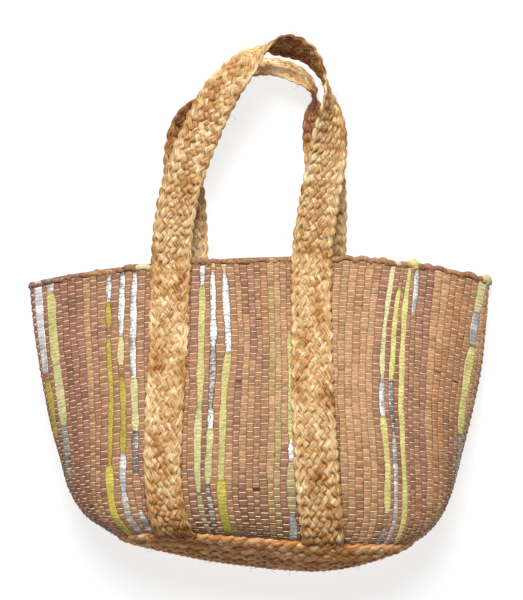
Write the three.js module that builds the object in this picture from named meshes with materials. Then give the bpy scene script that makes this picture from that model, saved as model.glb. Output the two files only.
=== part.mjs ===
// Beach bag: a wall woven from rag strips, a braided jute base and two braided jute straps.
// The bag lies on its back on the floor. +X runs across it, +Y from its base to its mouth, +Z up.
// Lengths are millimetres, and the origin is on the floor under the middle of the bag.

import * as THREE from "three";

// Driving dimensions
const WALL_THICKNESS = 3;
const FOLD_THICKNESS = 4.5; // the wall is doubled up where it folds at the sides
const SELVEDGE_BEAD = 1.8; // how far the looped edge at the mouth stands out from the wall
const SELVEDGE_DEPTH = 0.03; // share of the wall's height that the looped edge takes up
const STRAP_WIDTH = 42;
const STRAP_THICKNESS = 6;
const STRAP_EDGE = 4; // width of the rounded margin on each side of a strap
const BASE_THICKNESS = 6;
const BASE_LIP = 3.5; // how far the base's outer braid stands out round the wall
const BASE_LIP_DROP = 5; // distance from the wall's end to the fullest part of that braid
const BASE_BULGE = 23; // how far the middle of the base is pushed out
const BASE_CENTRE = { x: 46, z: 50 }; // where the base bulges most
const STRAP_FOOT = 0.008; // height on the wall where the front strap's ends stop above the base
const SEWN_GAP = 0.4; // clearance between pieces that are sewn together
const BACK_PANEL_REST = 1; // height of the back panel where no strap is under it
const BACK_SEAM_REST = 6.5; // height of the seam between the back panel and the base

// Faceting
const COLUMNS_ROUND_WALL = 80;
const LOOP_SAMPLES = 360;
const FRONT_LOOP_STATIONS = 44;
const BACK_STATIONS = 72;
const BASE_INSIDE_RINGS = [0.4, 0.75, 0.92]; // as shares of the way out from its middle
const BASE_OUTSIDE_RINGS = [0.94, 0.84, 0.66, 0.4];
const OUTER_HEIGHTS = [
  0, 0.03, 0.06, 0.1, 0.15, 0.21, 0.28, 0.36, 0.46, 0.57, 0.68, 0.79, 0.9, 0.965, 0.985, 1,
];
const INNER_HEIGHTS = [0.985, 0.9, 0.79, 0.68, 0.57, 0.46, 0.36, 0.28, 0.21, 0.15, 0.1, 0.06, 0.03, 0];

// Rows of numbers as objects, one key a column.
function tableOf(columns, rows) {
  return rows.map((row) => Object.fromEntries(columns.map((column, i) => [column, row[i]])));
}

// Sections round the wall, from the base seam at height 0 to the mouth at height 1.
// left and right are where the wall folds, a bow is how far the middle of the front or the back
// lies towards the mouth from the line between the folds, skew tips the front's bow to the right,
// foldZ and crownZ are heights off the floor, and frontPower is the fullness of the front: 2 is an
// ellipse, more is squarer.
const SECTIONS = tableOf(
  [
    "height", "leftX", "leftY", "rightX", "rightY", "frontBow",
    "backBow", "skew", "foldZ", "crownZ", "frontPower",
  ],
  [
    [0, -140, -229, 153, -234, 2.5, -17, -14, 50, 100, 2.5],
    [0.06, -152, -221.5, 165, -226, 5, -9, -8, 49, 110, 2.5],
    [0.14, -172, -208, 180.5, -208, 11, -1, -3, 47, 116, 2.4],
    [0.24, -188, -185, 192, -182, 17, 4, 0, 43, 115, 2.3],
    [0.36, -198, -154, 201, -150, 21, 8.5, 2, 38.5, 107, 2.2],
    [0.5, -209, -117, 211.5, -111, 24, 11.5, 3, 33, 93, 2.1],
    [0.68, -219, -70, 222.5, -63, 28, 17.5, 4, 25, 70, 2.1],
    [0.84, -227, -24, 228, -19, 25.5, 20, 5, 18, 51, 2.1],
    [1, -232.5, 22, 232.4, 25, 23.5, 21, 6, 12, 38, 2.1],
  ],
);
const BACK_POWER = 5; // the back is flat on the floor, with tight rounds at the folds
const BOW_POWER = 2.5;

// Where the front strap's two legs run down the wall, as distances from its middle.
const FRONT_LEGS = [
  { height: 0, left: -86, right: 55 },
  { height: 0.1, left: -93, right: 54 },
  { height: 0.25, left: -96, right: 51.5 },
  { height: 0.5, left: -94, right: 49.5 },
  { height: 0.75, left: -91, right: 49.5 },
  { height: 1, left: -88, right: 52 },
];

// The front strap's free loop, from the left leg round to the right one: the middle of the strap
// and its roll in degrees, which lifts the edge that faces into the loop.
const FRONT_LOOP = [
  { x: -86, y: 74.5, z: 41, roll: 2 },
  { x: -81, y: 104.5, z: 43, roll: 5 },
  { x: -72, y: 134.5, z: 46.5, roll: 8 },
  { x: -60.5, y: 164, z: 51, roll: 12 },
  { x: -49, y: 189.5, z: 55.5, roll: 17 },
  { x: -34.5, y: 214, z: 59, roll: 24 },
  { x: -17.5, y: 235, z: 61, roll: 42 },
  { x: 1, y: 248.5, z: 59.5, roll: 78 },
  { x: 17.5, y: 255.8, z: 56, roll: 106 },
  { x: 34.5, y: 255.4, z: 53.5, roll: 114 },
  { x: 49.5, y: 246.5, z: 52, roll: 110 },
  { x: 60.5, y: 230.5, z: 51, roll: 98 },
  { x: 67.5, y: 213, z: 50, roll: 82 },
  { x: 70.5, y: 195.5, z: 49, roll: 62 },
  { x: 70.5, y: 174.5, z: 48, roll: 38 },
  { x: 67.5, y: 149.5, z: 46.5, roll: 18 },
  { x: 63, y: 122.5, z: 45, roll: 6 },
  { x: 58, y: 94.5, z: 43, roll: 2 },
  { x: 53.5, y: 66, z: 41.5, roll: 0 },
];

// The back strap from end to end, under the back panel and on round its loop on the floor.
// A negative roll lifts the edge that faces out of the loop.
const BACK_ROUTE = [
  { x: -73, y: -238, roll: 0 },
  { x: -74, y: -150, roll: 0 },
  { x: -74, y: -50, roll: 0 },
  { x: -72, y: 40, roll: 0 },
  { x: -73, y: 74.5, roll: 0 },
  { x: -74.5, y: 104.5, roll: -5 },
  { x: -76.5, y: 134.5, roll: -18 },
  { x: -76.5, y: 157.5, roll: -34 },
  { x: -73, y: 177, roll: -48 },
  { x: -64.5, y: 193, roll: -58 },
  { x: -51, y: 207.5, roll: -63 },
  { x: -34.5, y: 223.5, roll: -65 },
  { x: -13.5, y: 234, roll: -66 },
  { x: 9, y: 237, roll: -68 },
  { x: 29, y: 231.5, roll: -72 },
  { x: 43, y: 221, roll: -72 },
  { x: 52.5, y: 205, roll: -65 },
  { x: 58.5, y: 185.5, roll: -50 },
  { x: 63, y: 162.5, roll: -36 },
  { x: 66.5, y: 136.5, roll: -21 },
  { x: 68.5, y: 106.5, roll: -8 },
  { x: 68.5, y: 74.5, roll: 0 },
  { x: 67.5, y: 40, roll: 0 },
  { x: 67, y: -50, roll: 0 },
  { x: 66, y: -150, roll: 0 },
  { x: 65, y: -240, roll: 0 },
];
const BACK_LEG_CENTRES = [-73.5, 67];
const BACK_BUMP_FLAT = STRAP_WIDTH / 2 + 3; // half width that a back leg holds up level
const BACK_BUMP_REACH = 62; // how far from a leg's middle the panel is back at its rest height

// Smooth curve through one column of a table, read at a value of its key column.
function readColumn(table, key, column, at) {
  const last = table.length - 1;
  let i = 0;
  while (i < last - 1 && at > table[i + 1][key]) i += 1;
  const slope = (j) => {
    const a = table[Math.max(j - 1, 0)];
    const b = table[Math.min(j + 1, last)];
    return (b[column] - a[column]) / (b[key] - a[key]);
  };
  const [p, q] = [table[i], table[i + 1]];
  const span = q[key] - p[key];
  const f = THREE.MathUtils.clamp((at - p[key]) / span, 0, 1);
  const [f2, f3] = [f * f, f * f * f];
  return (
    (2 * f3 - 3 * f2 + 1) * p[column] +
    (f3 - 2 * f2 + f) * span * slope(i) +
    (3 * f2 - 2 * f3) * q[column] +
    (f3 - f2) * span * slope(i + 1)
  );
}

function signedPower(value, power) {
  return Math.sign(value) * Math.abs(value) ** power;
}

// Height of the back panel's outside: it lies on the floor and rides up over the back strap's legs.
function backPanelZ(x, height) {
  let lift = 0;
  for (const centre of BACK_LEG_CENTRES) {
    const away = Math.abs(x - centre);
    lift = Math.max(lift, 1 - THREE.MathUtils.smoothstep(away, BACK_BUMP_FLAT, BACK_BUMP_REACH));
  }
  const overStrap = STRAP_THICKNESS + SEWN_GAP;
  const panel = BACK_PANEL_REST + lift * (overStrap - BACK_PANEL_REST);
  const nearSeam = 1 - THREE.MathUtils.smoothstep(height, 0, 0.12);
  return Math.max(panel, panel + nearSeam * (BACK_SEAM_REST - panel));
}

// How far the looped selvedge stands out of the wall at a height.
function beadAt(height) {
  const inBead = (height - (1 - 2 * SELVEDGE_DEPTH)) / (2 * SELVEDGE_DEPTH);
  return inBead <= 0 ? 0 : SELVEDGE_BEAD * Math.sin(Math.PI * Math.min(inBead, 0.85)) ** 0.7;
}

// One closed section of the wall's outside, or of its inside, as points from the middle of the
// front round to the right, the back, the left and the front again, with their running length.
const loopCache = new Map();
function wallLoop(height, inside) {
  const key = `${height.toFixed(5)} ${inside}`;
  if (loopCache.has(key)) return loopCache.get(key);
  const read = (column) => readColumn(SECTIONS, "height", column, height);
  const bead = inside ? 0 : beadAt(height);
  const half = (read("rightX") - read("leftX")) / 2 - (inside ? FOLD_THICKNESS : -bead);
  const middle = (read("rightX") + read("leftX")) / 2;
  const [foldZ, power] = [read("foldZ"), read("frontPower")];
  const crownZ = read("crownZ") + (inside ? -WALL_THICKNESS : bead);
  const points = [];
  const lengths = [0];
  for (let i = 0; i <= LOOP_SAMPLES; i += 1) {
    const angle = Math.PI / 2 - (2 * Math.PI * i) / LOOP_SAMPLES;
    const [across, up] = [Math.cos(angle), Math.sin(angle)];
    const front = up >= 0;
    const fullness = front ? power : BACK_POWER;
    const u = signedPower(across, 2 / fullness);
    const x = middle + half * u;
    const chordY = read("leftY") + ((read("rightY") - read("leftY")) * (u + 1)) / 2;
    const bow = read(front ? "frontBow" : "backBow") * (1 - Math.abs(u) ** BOW_POWER);
    const tip = front ? read("skew") * u * (1 - u * u) : 0;
    const floorZ = Math.min(backPanelZ(x, height) + (inside ? WALL_THICKNESS : 0), foldZ - 1);
    const reach = front ? crownZ - foldZ : foldZ - floorZ;
    points.push(new THREE.Vector3(x, chordY + bow + tip, foldZ + reach * signedPower(up, 2 / fullness)));
    if (i > 0) lengths.push(lengths[i - 1] + points[i].distanceTo(points[i - 1]));
  }
  const loop = { points, lengths, perimeter: lengths[LOOP_SAMPLES] };
  loopCache.set(key, loop);
  return loop;
}

// Point on the wall at a share of the way round, 0 at the middle of the front, and a height.
function wallPoint(share, height, inside = false) {
  const { points, lengths, perimeter } = wallLoop(height, inside);
  const target = (share - Math.floor(share)) * perimeter;
  let [low, high] = [0, LOOP_SAMPLES];
  while (high - low > 1) {
    const probe = (low + high) >> 1;
    if (lengths[probe] <= target) low = probe;
    else high = probe;
  }
  const f = (target - lengths[low]) / (lengths[high] - lengths[low]);
  return points[low].clone().lerp(points[high], f);
}

// Directions on the wall's outside: out of the bag, and down towards the base.
function wallDirections(share, height) {
  const step = 0.004;
  const around = wallPoint(share + step, height).sub(wallPoint(share - step, height));
  const [lower, upper] = [Math.max(height - step, 0), Math.min(height + step, 1)];
  const down = wallPoint(share, lower).sub(wallPoint(share, upper)).normalize();
  return { out: down.clone().cross(around).normalize(), down };
}

// Closed solid lofted through rings of equal point counts. An end is a flat cap of its ring, or
// runs to one apex point, or the last ring joins the first.
function loft(rings, { apexes = null, joined = false } = {}) {
  const count = rings[0].length;
  const vertices = rings.flat();
  const faces = [];
  const at = (ring, i) => (ring % rings.length) * count + (i % count);
  const bands = joined ? rings.length : rings.length - 1;
  for (let r = 0; r < bands; r += 1) {
    for (let i = 0; i < count; i += 1) {
      faces.push(at(r, i), at(r, i + 1), at(r + 1, i + 1));
      faces.push(at(r, i), at(r + 1, i + 1), at(r + 1, i));
    }
  }
  if (!joined) {
    const ends = apexes ?? [rings[0], rings.at(-1)].map(middleOf);
    const first = vertices.push(ends[0]) - 1;
    const last = vertices.push(ends[1]) - 1;
    for (let i = 0; i < count; i += 1) {
      faces.push(first, at(0, i + 1), at(0, i));
      faces.push(last, at(rings.length - 1, i), at(rings.length - 1, i + 1));
    }
  }
  const geometry = new THREE.BufferGeometry().setFromPoints(vertices);
  geometry.setIndex(faces);
  geometry.computeVertexNormals();
  return geometry;
}

function middleOf(ring) {
  const sum = ring.reduce((total, point) => total.add(point), new THREE.Vector3());
  return sum.divideScalar(ring.length);
}

function wallRing(height, inside) {
  return Array.from({ length: COLUMNS_ROUND_WALL }, (_, i) =>
    wallPoint(i / COLUMNS_ROUND_WALL, height, inside),
  );
}

// The woven wall: up the outside, over the selvedge and down the inside.
function wovenWall() {
  const outside = OUTER_HEIGHTS.map((height) => wallRing(height, false));
  const inside = INNER_HEIGHTS.map((height) => wallRing(height, true));
  return loft([...outside, ...inside], { joined: true });
}

// The braided base: a dished oval whose outer braid stands round the end of the wall.
function braidedBase() {
  const edge = Array.from({ length: COLUMNS_ROUND_WALL }, (_, i) => {
    const share = i / COLUMNS_ROUND_WALL;
    const { out, down } = wallDirections(share, 0);
    const seat = (point, along, proud) =>
      point.clone().addScaledVector(down, along).addScaledVector(out, proud);
    const outer = wallPoint(share, 0);
    return {
      inner: seat(wallPoint(share, 0, true), SEWN_GAP, 0),
      lip: seat(outer, SEWN_GAP, BASE_LIP * 0.8),
      full: seat(outer, BASE_LIP_DROP, BASE_LIP),
    };
  });
  const rim = (name) => edge.map((place) => place[name]);
  const centre = new THREE.Vector3(BASE_CENTRE.x, middleOf(rim("full")).y, BASE_CENTRE.z);
  const dished = (ring, share, inset) =>
    ring.map((point) => {
      const placed = centre.clone().lerp(point, share);
      placed.y += inset - BASE_BULGE * (1 - share * share);
      return placed;
    });
  const rings = [
    ...BASE_INSIDE_RINGS.map((share) => dished(rim("inner"), share, BASE_THICKNESS * (1 - share))),
    rim("inner"),
    rim("lip"),
    rim("full"),
    ...BASE_OUTSIDE_RINGS.map((share) => dished(rim("full"), share, 0)),
  ];
  const pole = (inset) => dished([centre], 0, inset)[0];
  return loft(rings.reverse(), { apexes: [pole(0), pole(BASE_THICKNESS)] });
}

// A strap's cross-section, as offsets across its width and through its thickness.
function strapSection() {
  const [half, thick] = [STRAP_WIDTH / 2, STRAP_THICKNESS / 2];
  const flat = half - STRAP_EDGE;
  const face = [-flat, -flat / 3, flat / 3, flat];
  const under = face.map((across) => ({ across, through: -thick }));
  const over = face.map((across) => ({ across, through: thick })).reverse();
  return [...under, { across: half, through: 0 }, ...over, { across: -half, through: 0 }];
}

// A ring of the front strap where it lies on the wall.
function ringOnWall(centreDistance, height, across) {
  const { perimeter } = wallLoop(height, false);
  const lift = SEWN_GAP + STRAP_THICKNESS / 2;
  return strapSection().map((corner) => {
    const share = (centreDistance + across * corner.across) / perimeter;
    const { out } = wallDirections(share, height);
    return wallPoint(share, height).addScaledVector(out, lift + corner.through);
  });
}

// Rings of a strap along a free curve. The roll turns it about its own length.
function ringsOnCurve(rows, stations, liftOf) {
  const curve = new THREE.CatmullRomCurve3(rows.map((row) => new THREE.Vector3(row.x, row.y, row.z ?? 0)));
  const keyed = rows.map((row, i) => ({ ...row, place: i / (rows.length - 1) }));
  const up = new THREE.Vector3(0, 0, 1);
  return Array.from({ length: stations }, (_, i) => {
    const place = i / (stations - 1);
    const middle = curve.getPoint(place);
    const along = curve.getTangent(place);
    const roll = THREE.MathUtils.degToRad(readColumn(keyed, "place", "roll", place));
    const side = along.clone().cross(up).normalize();
    const face = side.clone().cross(along).normalize();
    const across = side.clone().multiplyScalar(Math.cos(roll)).addScaledVector(face, Math.sin(roll));
    const through = face.clone().multiplyScalar(Math.cos(roll)).addScaledVector(side, -Math.sin(roll));
    middle.z += liftOf(roll);
    return strapSection().map((corner) =>
      middle.clone().addScaledVector(across, corner.across).addScaledVector(through, corner.through),
    );
  });
}

// The front strap: up the left leg, round the loop and down the right leg.
function frontStrap() {
  const leg = (side, across) =>
    OUTER_HEIGHTS.map((height) => Math.max(height, STRAP_FOOT)).map((height) =>
      ringOnWall(readColumn(FRONT_LEGS, "height", side, height), height, across),
    );
  const left = leg("left", 1);
  const right = leg("right", -1).reverse();
  const loop = ringsOnCurve(FRONT_LOOP, FRONT_LOOP_STATIONS, () => 0);
  return loft([...left, ...loop, ...right].reverse());
}

// The back strap lies on the floor, and stands on its lower edge where it is rolled.
function backStrap() {
  const onFloor = (roll) =>
    (STRAP_WIDTH / 2) * Math.abs(Math.sin(roll)) +
    (STRAP_THICKNESS / 2) * Math.cos(roll) ** 2;
  return loft(ringsOnCurve(BACK_ROUTE, BACK_STATIONS, onFloor).reverse());
}

function finish(colour, roughness) {
  return new THREE.MeshStandardMaterial({ color: colour, roughness, metalness: 0 });
}

function piece(name, geometry, material) {
  const mesh = new THREE.Mesh(geometry, material);
  mesh.name = name;
  return mesh;
}

const ragWeave = finish(0xa8795a, 0.8);
const jute = finish(0xc99a5b, 0.9);

const bag = new THREE.Group();
bag.add(
  piece("woven_wall", wovenWall(), ragWeave),
  piece("braided_base", braidedBase(), jute),
  piece("strap_front", frontStrap(), jute),
  piece("strap_back", backStrap(), jute),
);

export default bag;
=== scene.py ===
"""Dresses the beach bag: a weave of rag strips, cotton threads, plaited jute straps and a braided base."""

import functools
import math

import bpy
import numpy as np
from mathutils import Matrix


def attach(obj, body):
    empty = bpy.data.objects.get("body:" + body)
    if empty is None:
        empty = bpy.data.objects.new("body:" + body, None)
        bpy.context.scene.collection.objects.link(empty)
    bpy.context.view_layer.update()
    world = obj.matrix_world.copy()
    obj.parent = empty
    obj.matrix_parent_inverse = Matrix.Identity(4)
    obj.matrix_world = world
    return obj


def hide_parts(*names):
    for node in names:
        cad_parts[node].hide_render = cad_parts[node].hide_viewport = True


bl_info = {
    "name": "Woven beach bag",
    "version": (1, 0, 0),
    "blender": (4, 5, 0),
    "location": "View3D > Sidebar > Beach bag",
    "description": "Makes the strips, threads, straps and base of a woven beach bag",
    "category": "Object",
}

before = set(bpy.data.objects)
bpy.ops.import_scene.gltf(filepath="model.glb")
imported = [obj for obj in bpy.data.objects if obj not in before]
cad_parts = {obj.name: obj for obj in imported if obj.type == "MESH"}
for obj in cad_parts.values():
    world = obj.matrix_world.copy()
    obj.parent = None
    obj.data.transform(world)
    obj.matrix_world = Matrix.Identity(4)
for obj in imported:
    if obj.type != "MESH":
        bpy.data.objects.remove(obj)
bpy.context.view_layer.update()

MM = 0.001
TINY = 1e-9

# Shape of the wall, as in the part's source, in millimetres
WALL_DEPTH = 300.0
SECTION_COLUMNS = (
    "height", "left_x", "left_y", "right_x", "right_y", "front_bow",
    "back_bow", "skew", "fold_z", "crown_z", "front_power",
)
SECTION_ROWS = (
    (0, -140, -229, 153, -234, 2.5, -17, -14, 50, 100, 2.5),
    (0.06, -152, -221.5, 165, -226, 5, -9, -8, 49, 110, 2.5),
    (0.14, -172, -208, 180.5, -208, 11, -1, -3, 47, 116, 2.4),
    (0.24, -188, -185, 192, -182, 17, 4, 0, 43, 115, 2.3),
    (0.36, -198, -154, 201, -150, 21, 8.5, 2, 38.5, 107, 2.2),
    (0.5, -209, -117, 211.5, -111, 24, 11.5, 3, 33, 93, 2.1),
    (0.68, -219, -70, 222.5, -63, 28, 17.5, 4, 25, 70, 2.1),
    (0.84, -227, -24, 228, -19, 25.5, 20, 5, 18, 51, 2.1),
    (1, -232.5, 22, 232.4, 25, 23.5, 21, 6, 12, 38, 2.1),
)
BACK_POWER = 5
BOW_POWER = 2.5
BACK_PANEL_REST = 1.0
BACK_SEAM_REST = 6.5
BACK_SEAM_REACH = 0.12
BACK_LEG_CENTRES = (-73.5, 67.0)
BACK_BUMP_FLAT = 24.0
BACK_BUMP_REACH = 62.0
SEWN_GAP = 0.4
STRAP_WIDTH = 42.0
STRAP_THICKNESS = 6.0

# Routes of the straps, as in the part's source, with the widths and rolls that show
FRONT_LEG_COLUMNS = ("height", "left", "right", "left_width", "right_width")
FRONT_LEG_ROWS = (
    (0, -85, 54, 41, 42), (0.1, -91.5, 54.5, 39.5, 44), (0.25, -94.5, 53, 39, 45.5),
    (0.5, -93, 50, 40, 43.5), (0.75, -90.5, 49.5, 41, 42), (1, -88, 52, 42, 42),
)
FRONT_LOOP_COLUMNS = ("x", "y", "z", "roll")
FRONT_LOOP_ROWS = (
    (-86, 74.5, 41, 2), (-81, 104.5, 43, 5), (-72, 134.5, 46.5, 8), (-60.5, 164, 51, 11),
    (-49, 189.5, 55.5, 15), (-34.5, 214, 59, 25), (-16.5, 234, 61, 43), (-6, 245.5, 61, 57),
    (5, 253.5, 59.5, 80), (17.5, 256, 56, 110), (34.5, 254, 53.5, 116), (49.5, 246.5, 52, 110),
    (60.5, 230.5, 51, 98),
    (67.5, 213, 50, 82), (70.5, 195.5, 49, 62), (70.5, 174.5, 48, 38), (67.5, 149.5, 46.5, 18),
    (63, 122.5, 45, 6), (58, 94.5, 43, 2), (53.5, 66, 41.5, 0),
)
BACK_ROUTE_COLUMNS = ("x", "y", "roll")
BACK_ROUTE_ROWS = (
    (-73, -238, 0), (-74, -150, 0), (-74, -50, 0), (-72, 40, 0), (-73, 74.5, 0), (-74.5, 104.5, -5),
    (-77.5, 134.5, -18), (-79, 157.5, -36), (-77, 177, -52), (-68.5, 193, -66), (-53, 207.5, -82),
    (-34.5, 223.5, -100), (-13.5, 235.5, -117), (9, 239.5, -121), (29, 235.5, -121), (43.5, 227.5, -118),
    (53, 216, -104), (55.5, 202, -80), (56, 185.5, -56), (60.5, 162.5, -38), (65.5, 136.5, -21),
    (68.5, 106.5, -8),
    (68.5, 74.5, 0), (67.5, 40, 0), (67, -50, 0), (66, -150, 0), (65, -240, 0),
)

# Darkest tone of a jute strand, where 0 is brown and 1 is pale, and below 0 is painted shade
TONE_FLOOR = -0.6

# Shape of the base, as in the part's source
BASE_LIP = 3.5
BASE_LIP_DROP = 5.0
BASE_CENTRE_X = 46.0
BASE_CENTRE_Z = 50.0

# Strips that stand out, with their places round the wall in thousandths at each guide height.
# Zero is the middle of the front, and the plain strips are spread evenly between them.
# A row has a strip's name, its share of the room between its neighbours, and its places.
THOUSANDTHS = 1000
HALF_HEIGHT = 0.5
GUIDE_HEIGHTS = (0.0, 0.2, 0.35, HALF_HEIGHT, 0.7, 1.0)
GUIDE_ROWS = (
    ("back left", 1.0, (-322, -312, -306, -302, -300, -300)),
    ("left fold", 2.2, (-266, -247, -239, -235, -236, -236)),
    ("left lime", 2.6, (-252, -232, -223, -219, -221, -223)),
    ("first trio left", 0.8, (-194, -174, -166, -160, -160, -158)),
    ("first trio middle", 1.1, (-174, -156, -151, -146, -148, -142)),
    ("first trio right", 1.15, (-156, -140, -136, -134, -135, -130)),
    ("second trio left", 1.0, (-75, -70, -68, -64, -62, -58)),
    ("second trio middle", 1.2, (-66, -60, -55, -52, -50, -48)),
    ("second trio right", 1.3, (-52, -45, -42, -39, -34, -38)),
    ("by the right strap", 1.6, (36, 32, 33, 33, 31, 32)),
    ("third group first", 1.1, (153, 143, 137, 129, 129, 142)),
    ("third group second", 1.2, (162, 151, 145, 138, 138, 151)),
    ("third group third", 1.3, (180, 163, 155, 150, 149, 158)),
    ("third group fourth", 0.75, (190, 172, 164, 159, 158, 165)),
    ("right fold", 1.6, (266, 246, 233, 224, 226, 240)),
    ("back right", 1.0, (322, 312, 306, 302, 300, 300)),
)

# Lengths of accent on each guide: from and to as shares of the wall's height, and the tone. The brightest
# silver is film with a painted highlight.
ACCENTS = {
    "left fold": ((0.68, 1.0, "painted_highlight_silver"), (0.44, 0.66, "mustard")),
    "left lime": (
        (0.95, 1.0, "silver"), (0.7, 0.95, "lime"), (0.48, 0.7, "pale_lime"), (0.29, 0.48, "grey_silver"),
    ),
    "first trio left": (
        (0.88, 0.97, "silver"), (0.785, 0.88, "mustard"), (0.32, 0.75, "mustard"), (0.0, 0.32, "yellow"),
    ),
    "first trio middle": (
        (0.75, 0.98, "silver"), (0.65, 0.75, "pale_lime"), (0.35, 0.61, "mustard"),
        (0.22, 0.35, "painted_highlight_silver"), (0.0, 0.22, "dull_silver"),
    ),
    "first trio right": (
        (0.6, 0.97, "silver"), (0.42, 0.6, "pale_lime"), (0.27, 0.42, "grey_silver"),
        (0.0, 0.15, "dull_silver"),
    ),
    "second trio left": (
        (0.91, 0.99, "silver"), (0.48, 0.91, "lime"), (0.2, 0.48, "pale_lime"), (0.04, 0.2, "olive"),
    ),
    "second trio middle": (
        (0.97, 1.0, "lime"), (0.68, 0.95, "silver"), (0.48, 0.68, "grey_silver"), (0.41, 0.48, "silver"),
        (0.23, 0.41, "pale_lime"), (0.05, 0.23, "grey_silver"),
    ),
    "second trio right": (
        (0.95, 1.0, "lime"), (0.66, 0.95, "silver"), (0.24, 0.66, "lime"), (0.03, 0.24, "yellow"),
    ),
    "by the right strap": (
        (0.36, 0.72, "lime"), (0.3, 0.36, "silver"), (0.13, 0.3, "olive"), (0.0, 0.13, "silver"),
    ),
    "third group first": (
        (0.57, 1.0, "cream_lime"), (0.45, 0.57, "painted_highlight_silver"), (0.15, 0.45, "bright_lime"),
        (0.0, 0.1, "silver"),
    ),
    "third group second": (
        (0.57, 0.9, "bright_lime"), (0.4, 0.57, "grey_silver"), (0.02, 0.4, "dull_silver"),
    ),
    "third group third": ((0.02, 1.0, "bright_lime"),),
    "third group fourth": ((0.81, 0.98, "silver"),),
    "right fold": (
        (0.87, 1.0, "pale_lime"), (0.75, 0.87, "silver"), (0.43, 0.75, "bright_lime"),
        (0.25, 0.43, "grey_silver"),
    ),
}

# Small dark spots of painted shade where the weave gaps: thousandths round the wall, and share of its height
HOLE_SHADE_ROWS = (
    (-4, 0.77), (-22, 0.556), (-25, 0.54), (185, 0.62),
    (-8, 0.212), (-5, 0.204), (230, 0.745), (213, 0.6),
)

# Tones of silvered film, tones whose strips lie smooth over the threads, and plain tones
FOIL_TONES = ("painted_highlight_silver", "silver", "dull_silver", "grey_silver")
SMOOTH_TONES = (
    "painted_highlight_silver", "silver", "lime", "bright_lime", "pale_lime", "cream_lime", "yellow", "mustard",
)
PLAIN_TONES = ("brown", "mauve", "umber", "tan", "ochre", "khaki", "rust")

# How wide a strip of a tone is, where 1 is usual
TONE_WIDTHS = {
    "painted_highlight_silver": 1.2, "silver": 1.06, "dull_silver": 1.1, "lime": 1.1, "bright_lime": 1.25,
    "pale_lime": 1.3, "cream_lime": 0.62, "yellow": 2.2, "mustard": 0.95,
}

# How often the plain tones come up in each zone round the wall, and where the zone ends in thousandths
ZONE_COLUMNS = ("to", *PLAIN_TONES)
ZONE_ROWS = (
    (-186, 1, 6, 9, 0, 0, 0, 1), (-172, 3, 1, 0, 2, 5, 0, 1), (8, 7, 3, 1, 1, 1, 0, 2),
    (24, 0, 0, 0, 1, 1, 8, 0), (84, 6, 2, 1, 2, 1, 0, 1), (118, 1, 0, 0, 7, 2, 0, 1),
    (176, 4, 4, 1, 1, 0, 0, 1), (196, 1, 0, 0, 5, 2, 0, 3), (226, 5, 3, 2, 1, 1, 0, 3),
    (242, 0, 0, 0, 8, 2, 0, 0), (500, 5, 3, 2, 1, 1, 0, 3),
)

# Loose fibres on the jute: how long they are, how thick, how high over the floor they start,
# how they are rounded and bent, how far they lean in radians, and their sizes as shares of the length
FIBRE_LENGTH = 6.5
FIBRE_RADIUS = 0.12
FIBRE_FLOOR = 9.0
FIBRE_SIDES = 3
FIBRE_STEPS = 4
FIBRE_LEAN = 0.5
FIBRE_SIZES = (0.4, 1.3)

# Section of a strip, as shares of its half width, on its outside and then back along its inside
STRIP_OUTSIDE = (-1.0, -0.72, 0.0, 0.72, 1.0)
STRIP_INSIDE = (0.6, 0.0, -0.6)

# Half width of a strip in the patterns on it
STRIP_HALF = 4.0

# A random wave: its paces as multiples of the slowest, how far each strays from that, and its usual height
WAVE_PACES = (1, 2.3)
WAVE_STRAYS = (0.6, 1.4)
WAVE_HEIGHT = 1.3

# Straps' routes: readings for each row of a table, and steps over which a route is smoothed
ROUTE_READINGS = 8
ROUTE_SMOOTHING = 9

# Front strap's legs: the height where they start, their readings, and how far and how high their feet dip
LEG_START = 0.004
LEG_READINGS = 90
FOOT_DIP = 2.6
FOOT_DIP_REACH = 0.05


def linear(text):
    """An sRGB hex colour as linear red, green, blue and alpha."""
    values = [int(text[i : i + 2], 16) / 255 for i in (1, 3, 5)]
    return tuple(v / 12.92 if v <= 0.04045 else ((v + 0.055) / 1.055) ** 2.4 for v in values) + (1.0,)


def table_of(columns, rows):
    """Rows of numbers as one array a column."""
    return {name: np.array([row[i] for row in rows], float) for i, name in enumerate(columns)}


def read_column(keys, values, at):
    """Smooth curve through values at rising keys, read at one place or many."""
    keys, values, at = (np.asarray(field, float) for field in (keys, values, at))
    last = len(keys) - 1
    below = np.maximum(np.arange(last + 1) - 1, 0)
    above = np.minimum(np.arange(last + 1) + 1, last)
    slopes = (values[above] - values[below]) / (keys[above] - keys[below])
    i = np.clip(np.searchsorted(keys, at) - 1, 0, last - 1)
    span = keys[i + 1] - keys[i]
    f = np.clip((at - keys[i]) / span, 0, 1)
    return (
        (2 * f**3 - 3 * f**2 + 1) * values[i]
        + (f**3 - 2 * f**2 + f) * span * slopes[i]
        + (3 * f**2 - 2 * f**3) * values[i + 1]
        + (f**3 - f**2) * span * slopes[i + 1]
    )


def smoothstep(value, low, high):
    """0 up to low, 1 from high on, and a smooth rise between them."""
    f = np.clip((value - low) / (high - low), 0, 1)
    return f * f * (3 - 2 * f)


def unit(vectors):
    """The same directions, one long."""
    return vectors / np.maximum(np.linalg.norm(vectors, axis=-1, keepdims=True), TINY)


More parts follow.
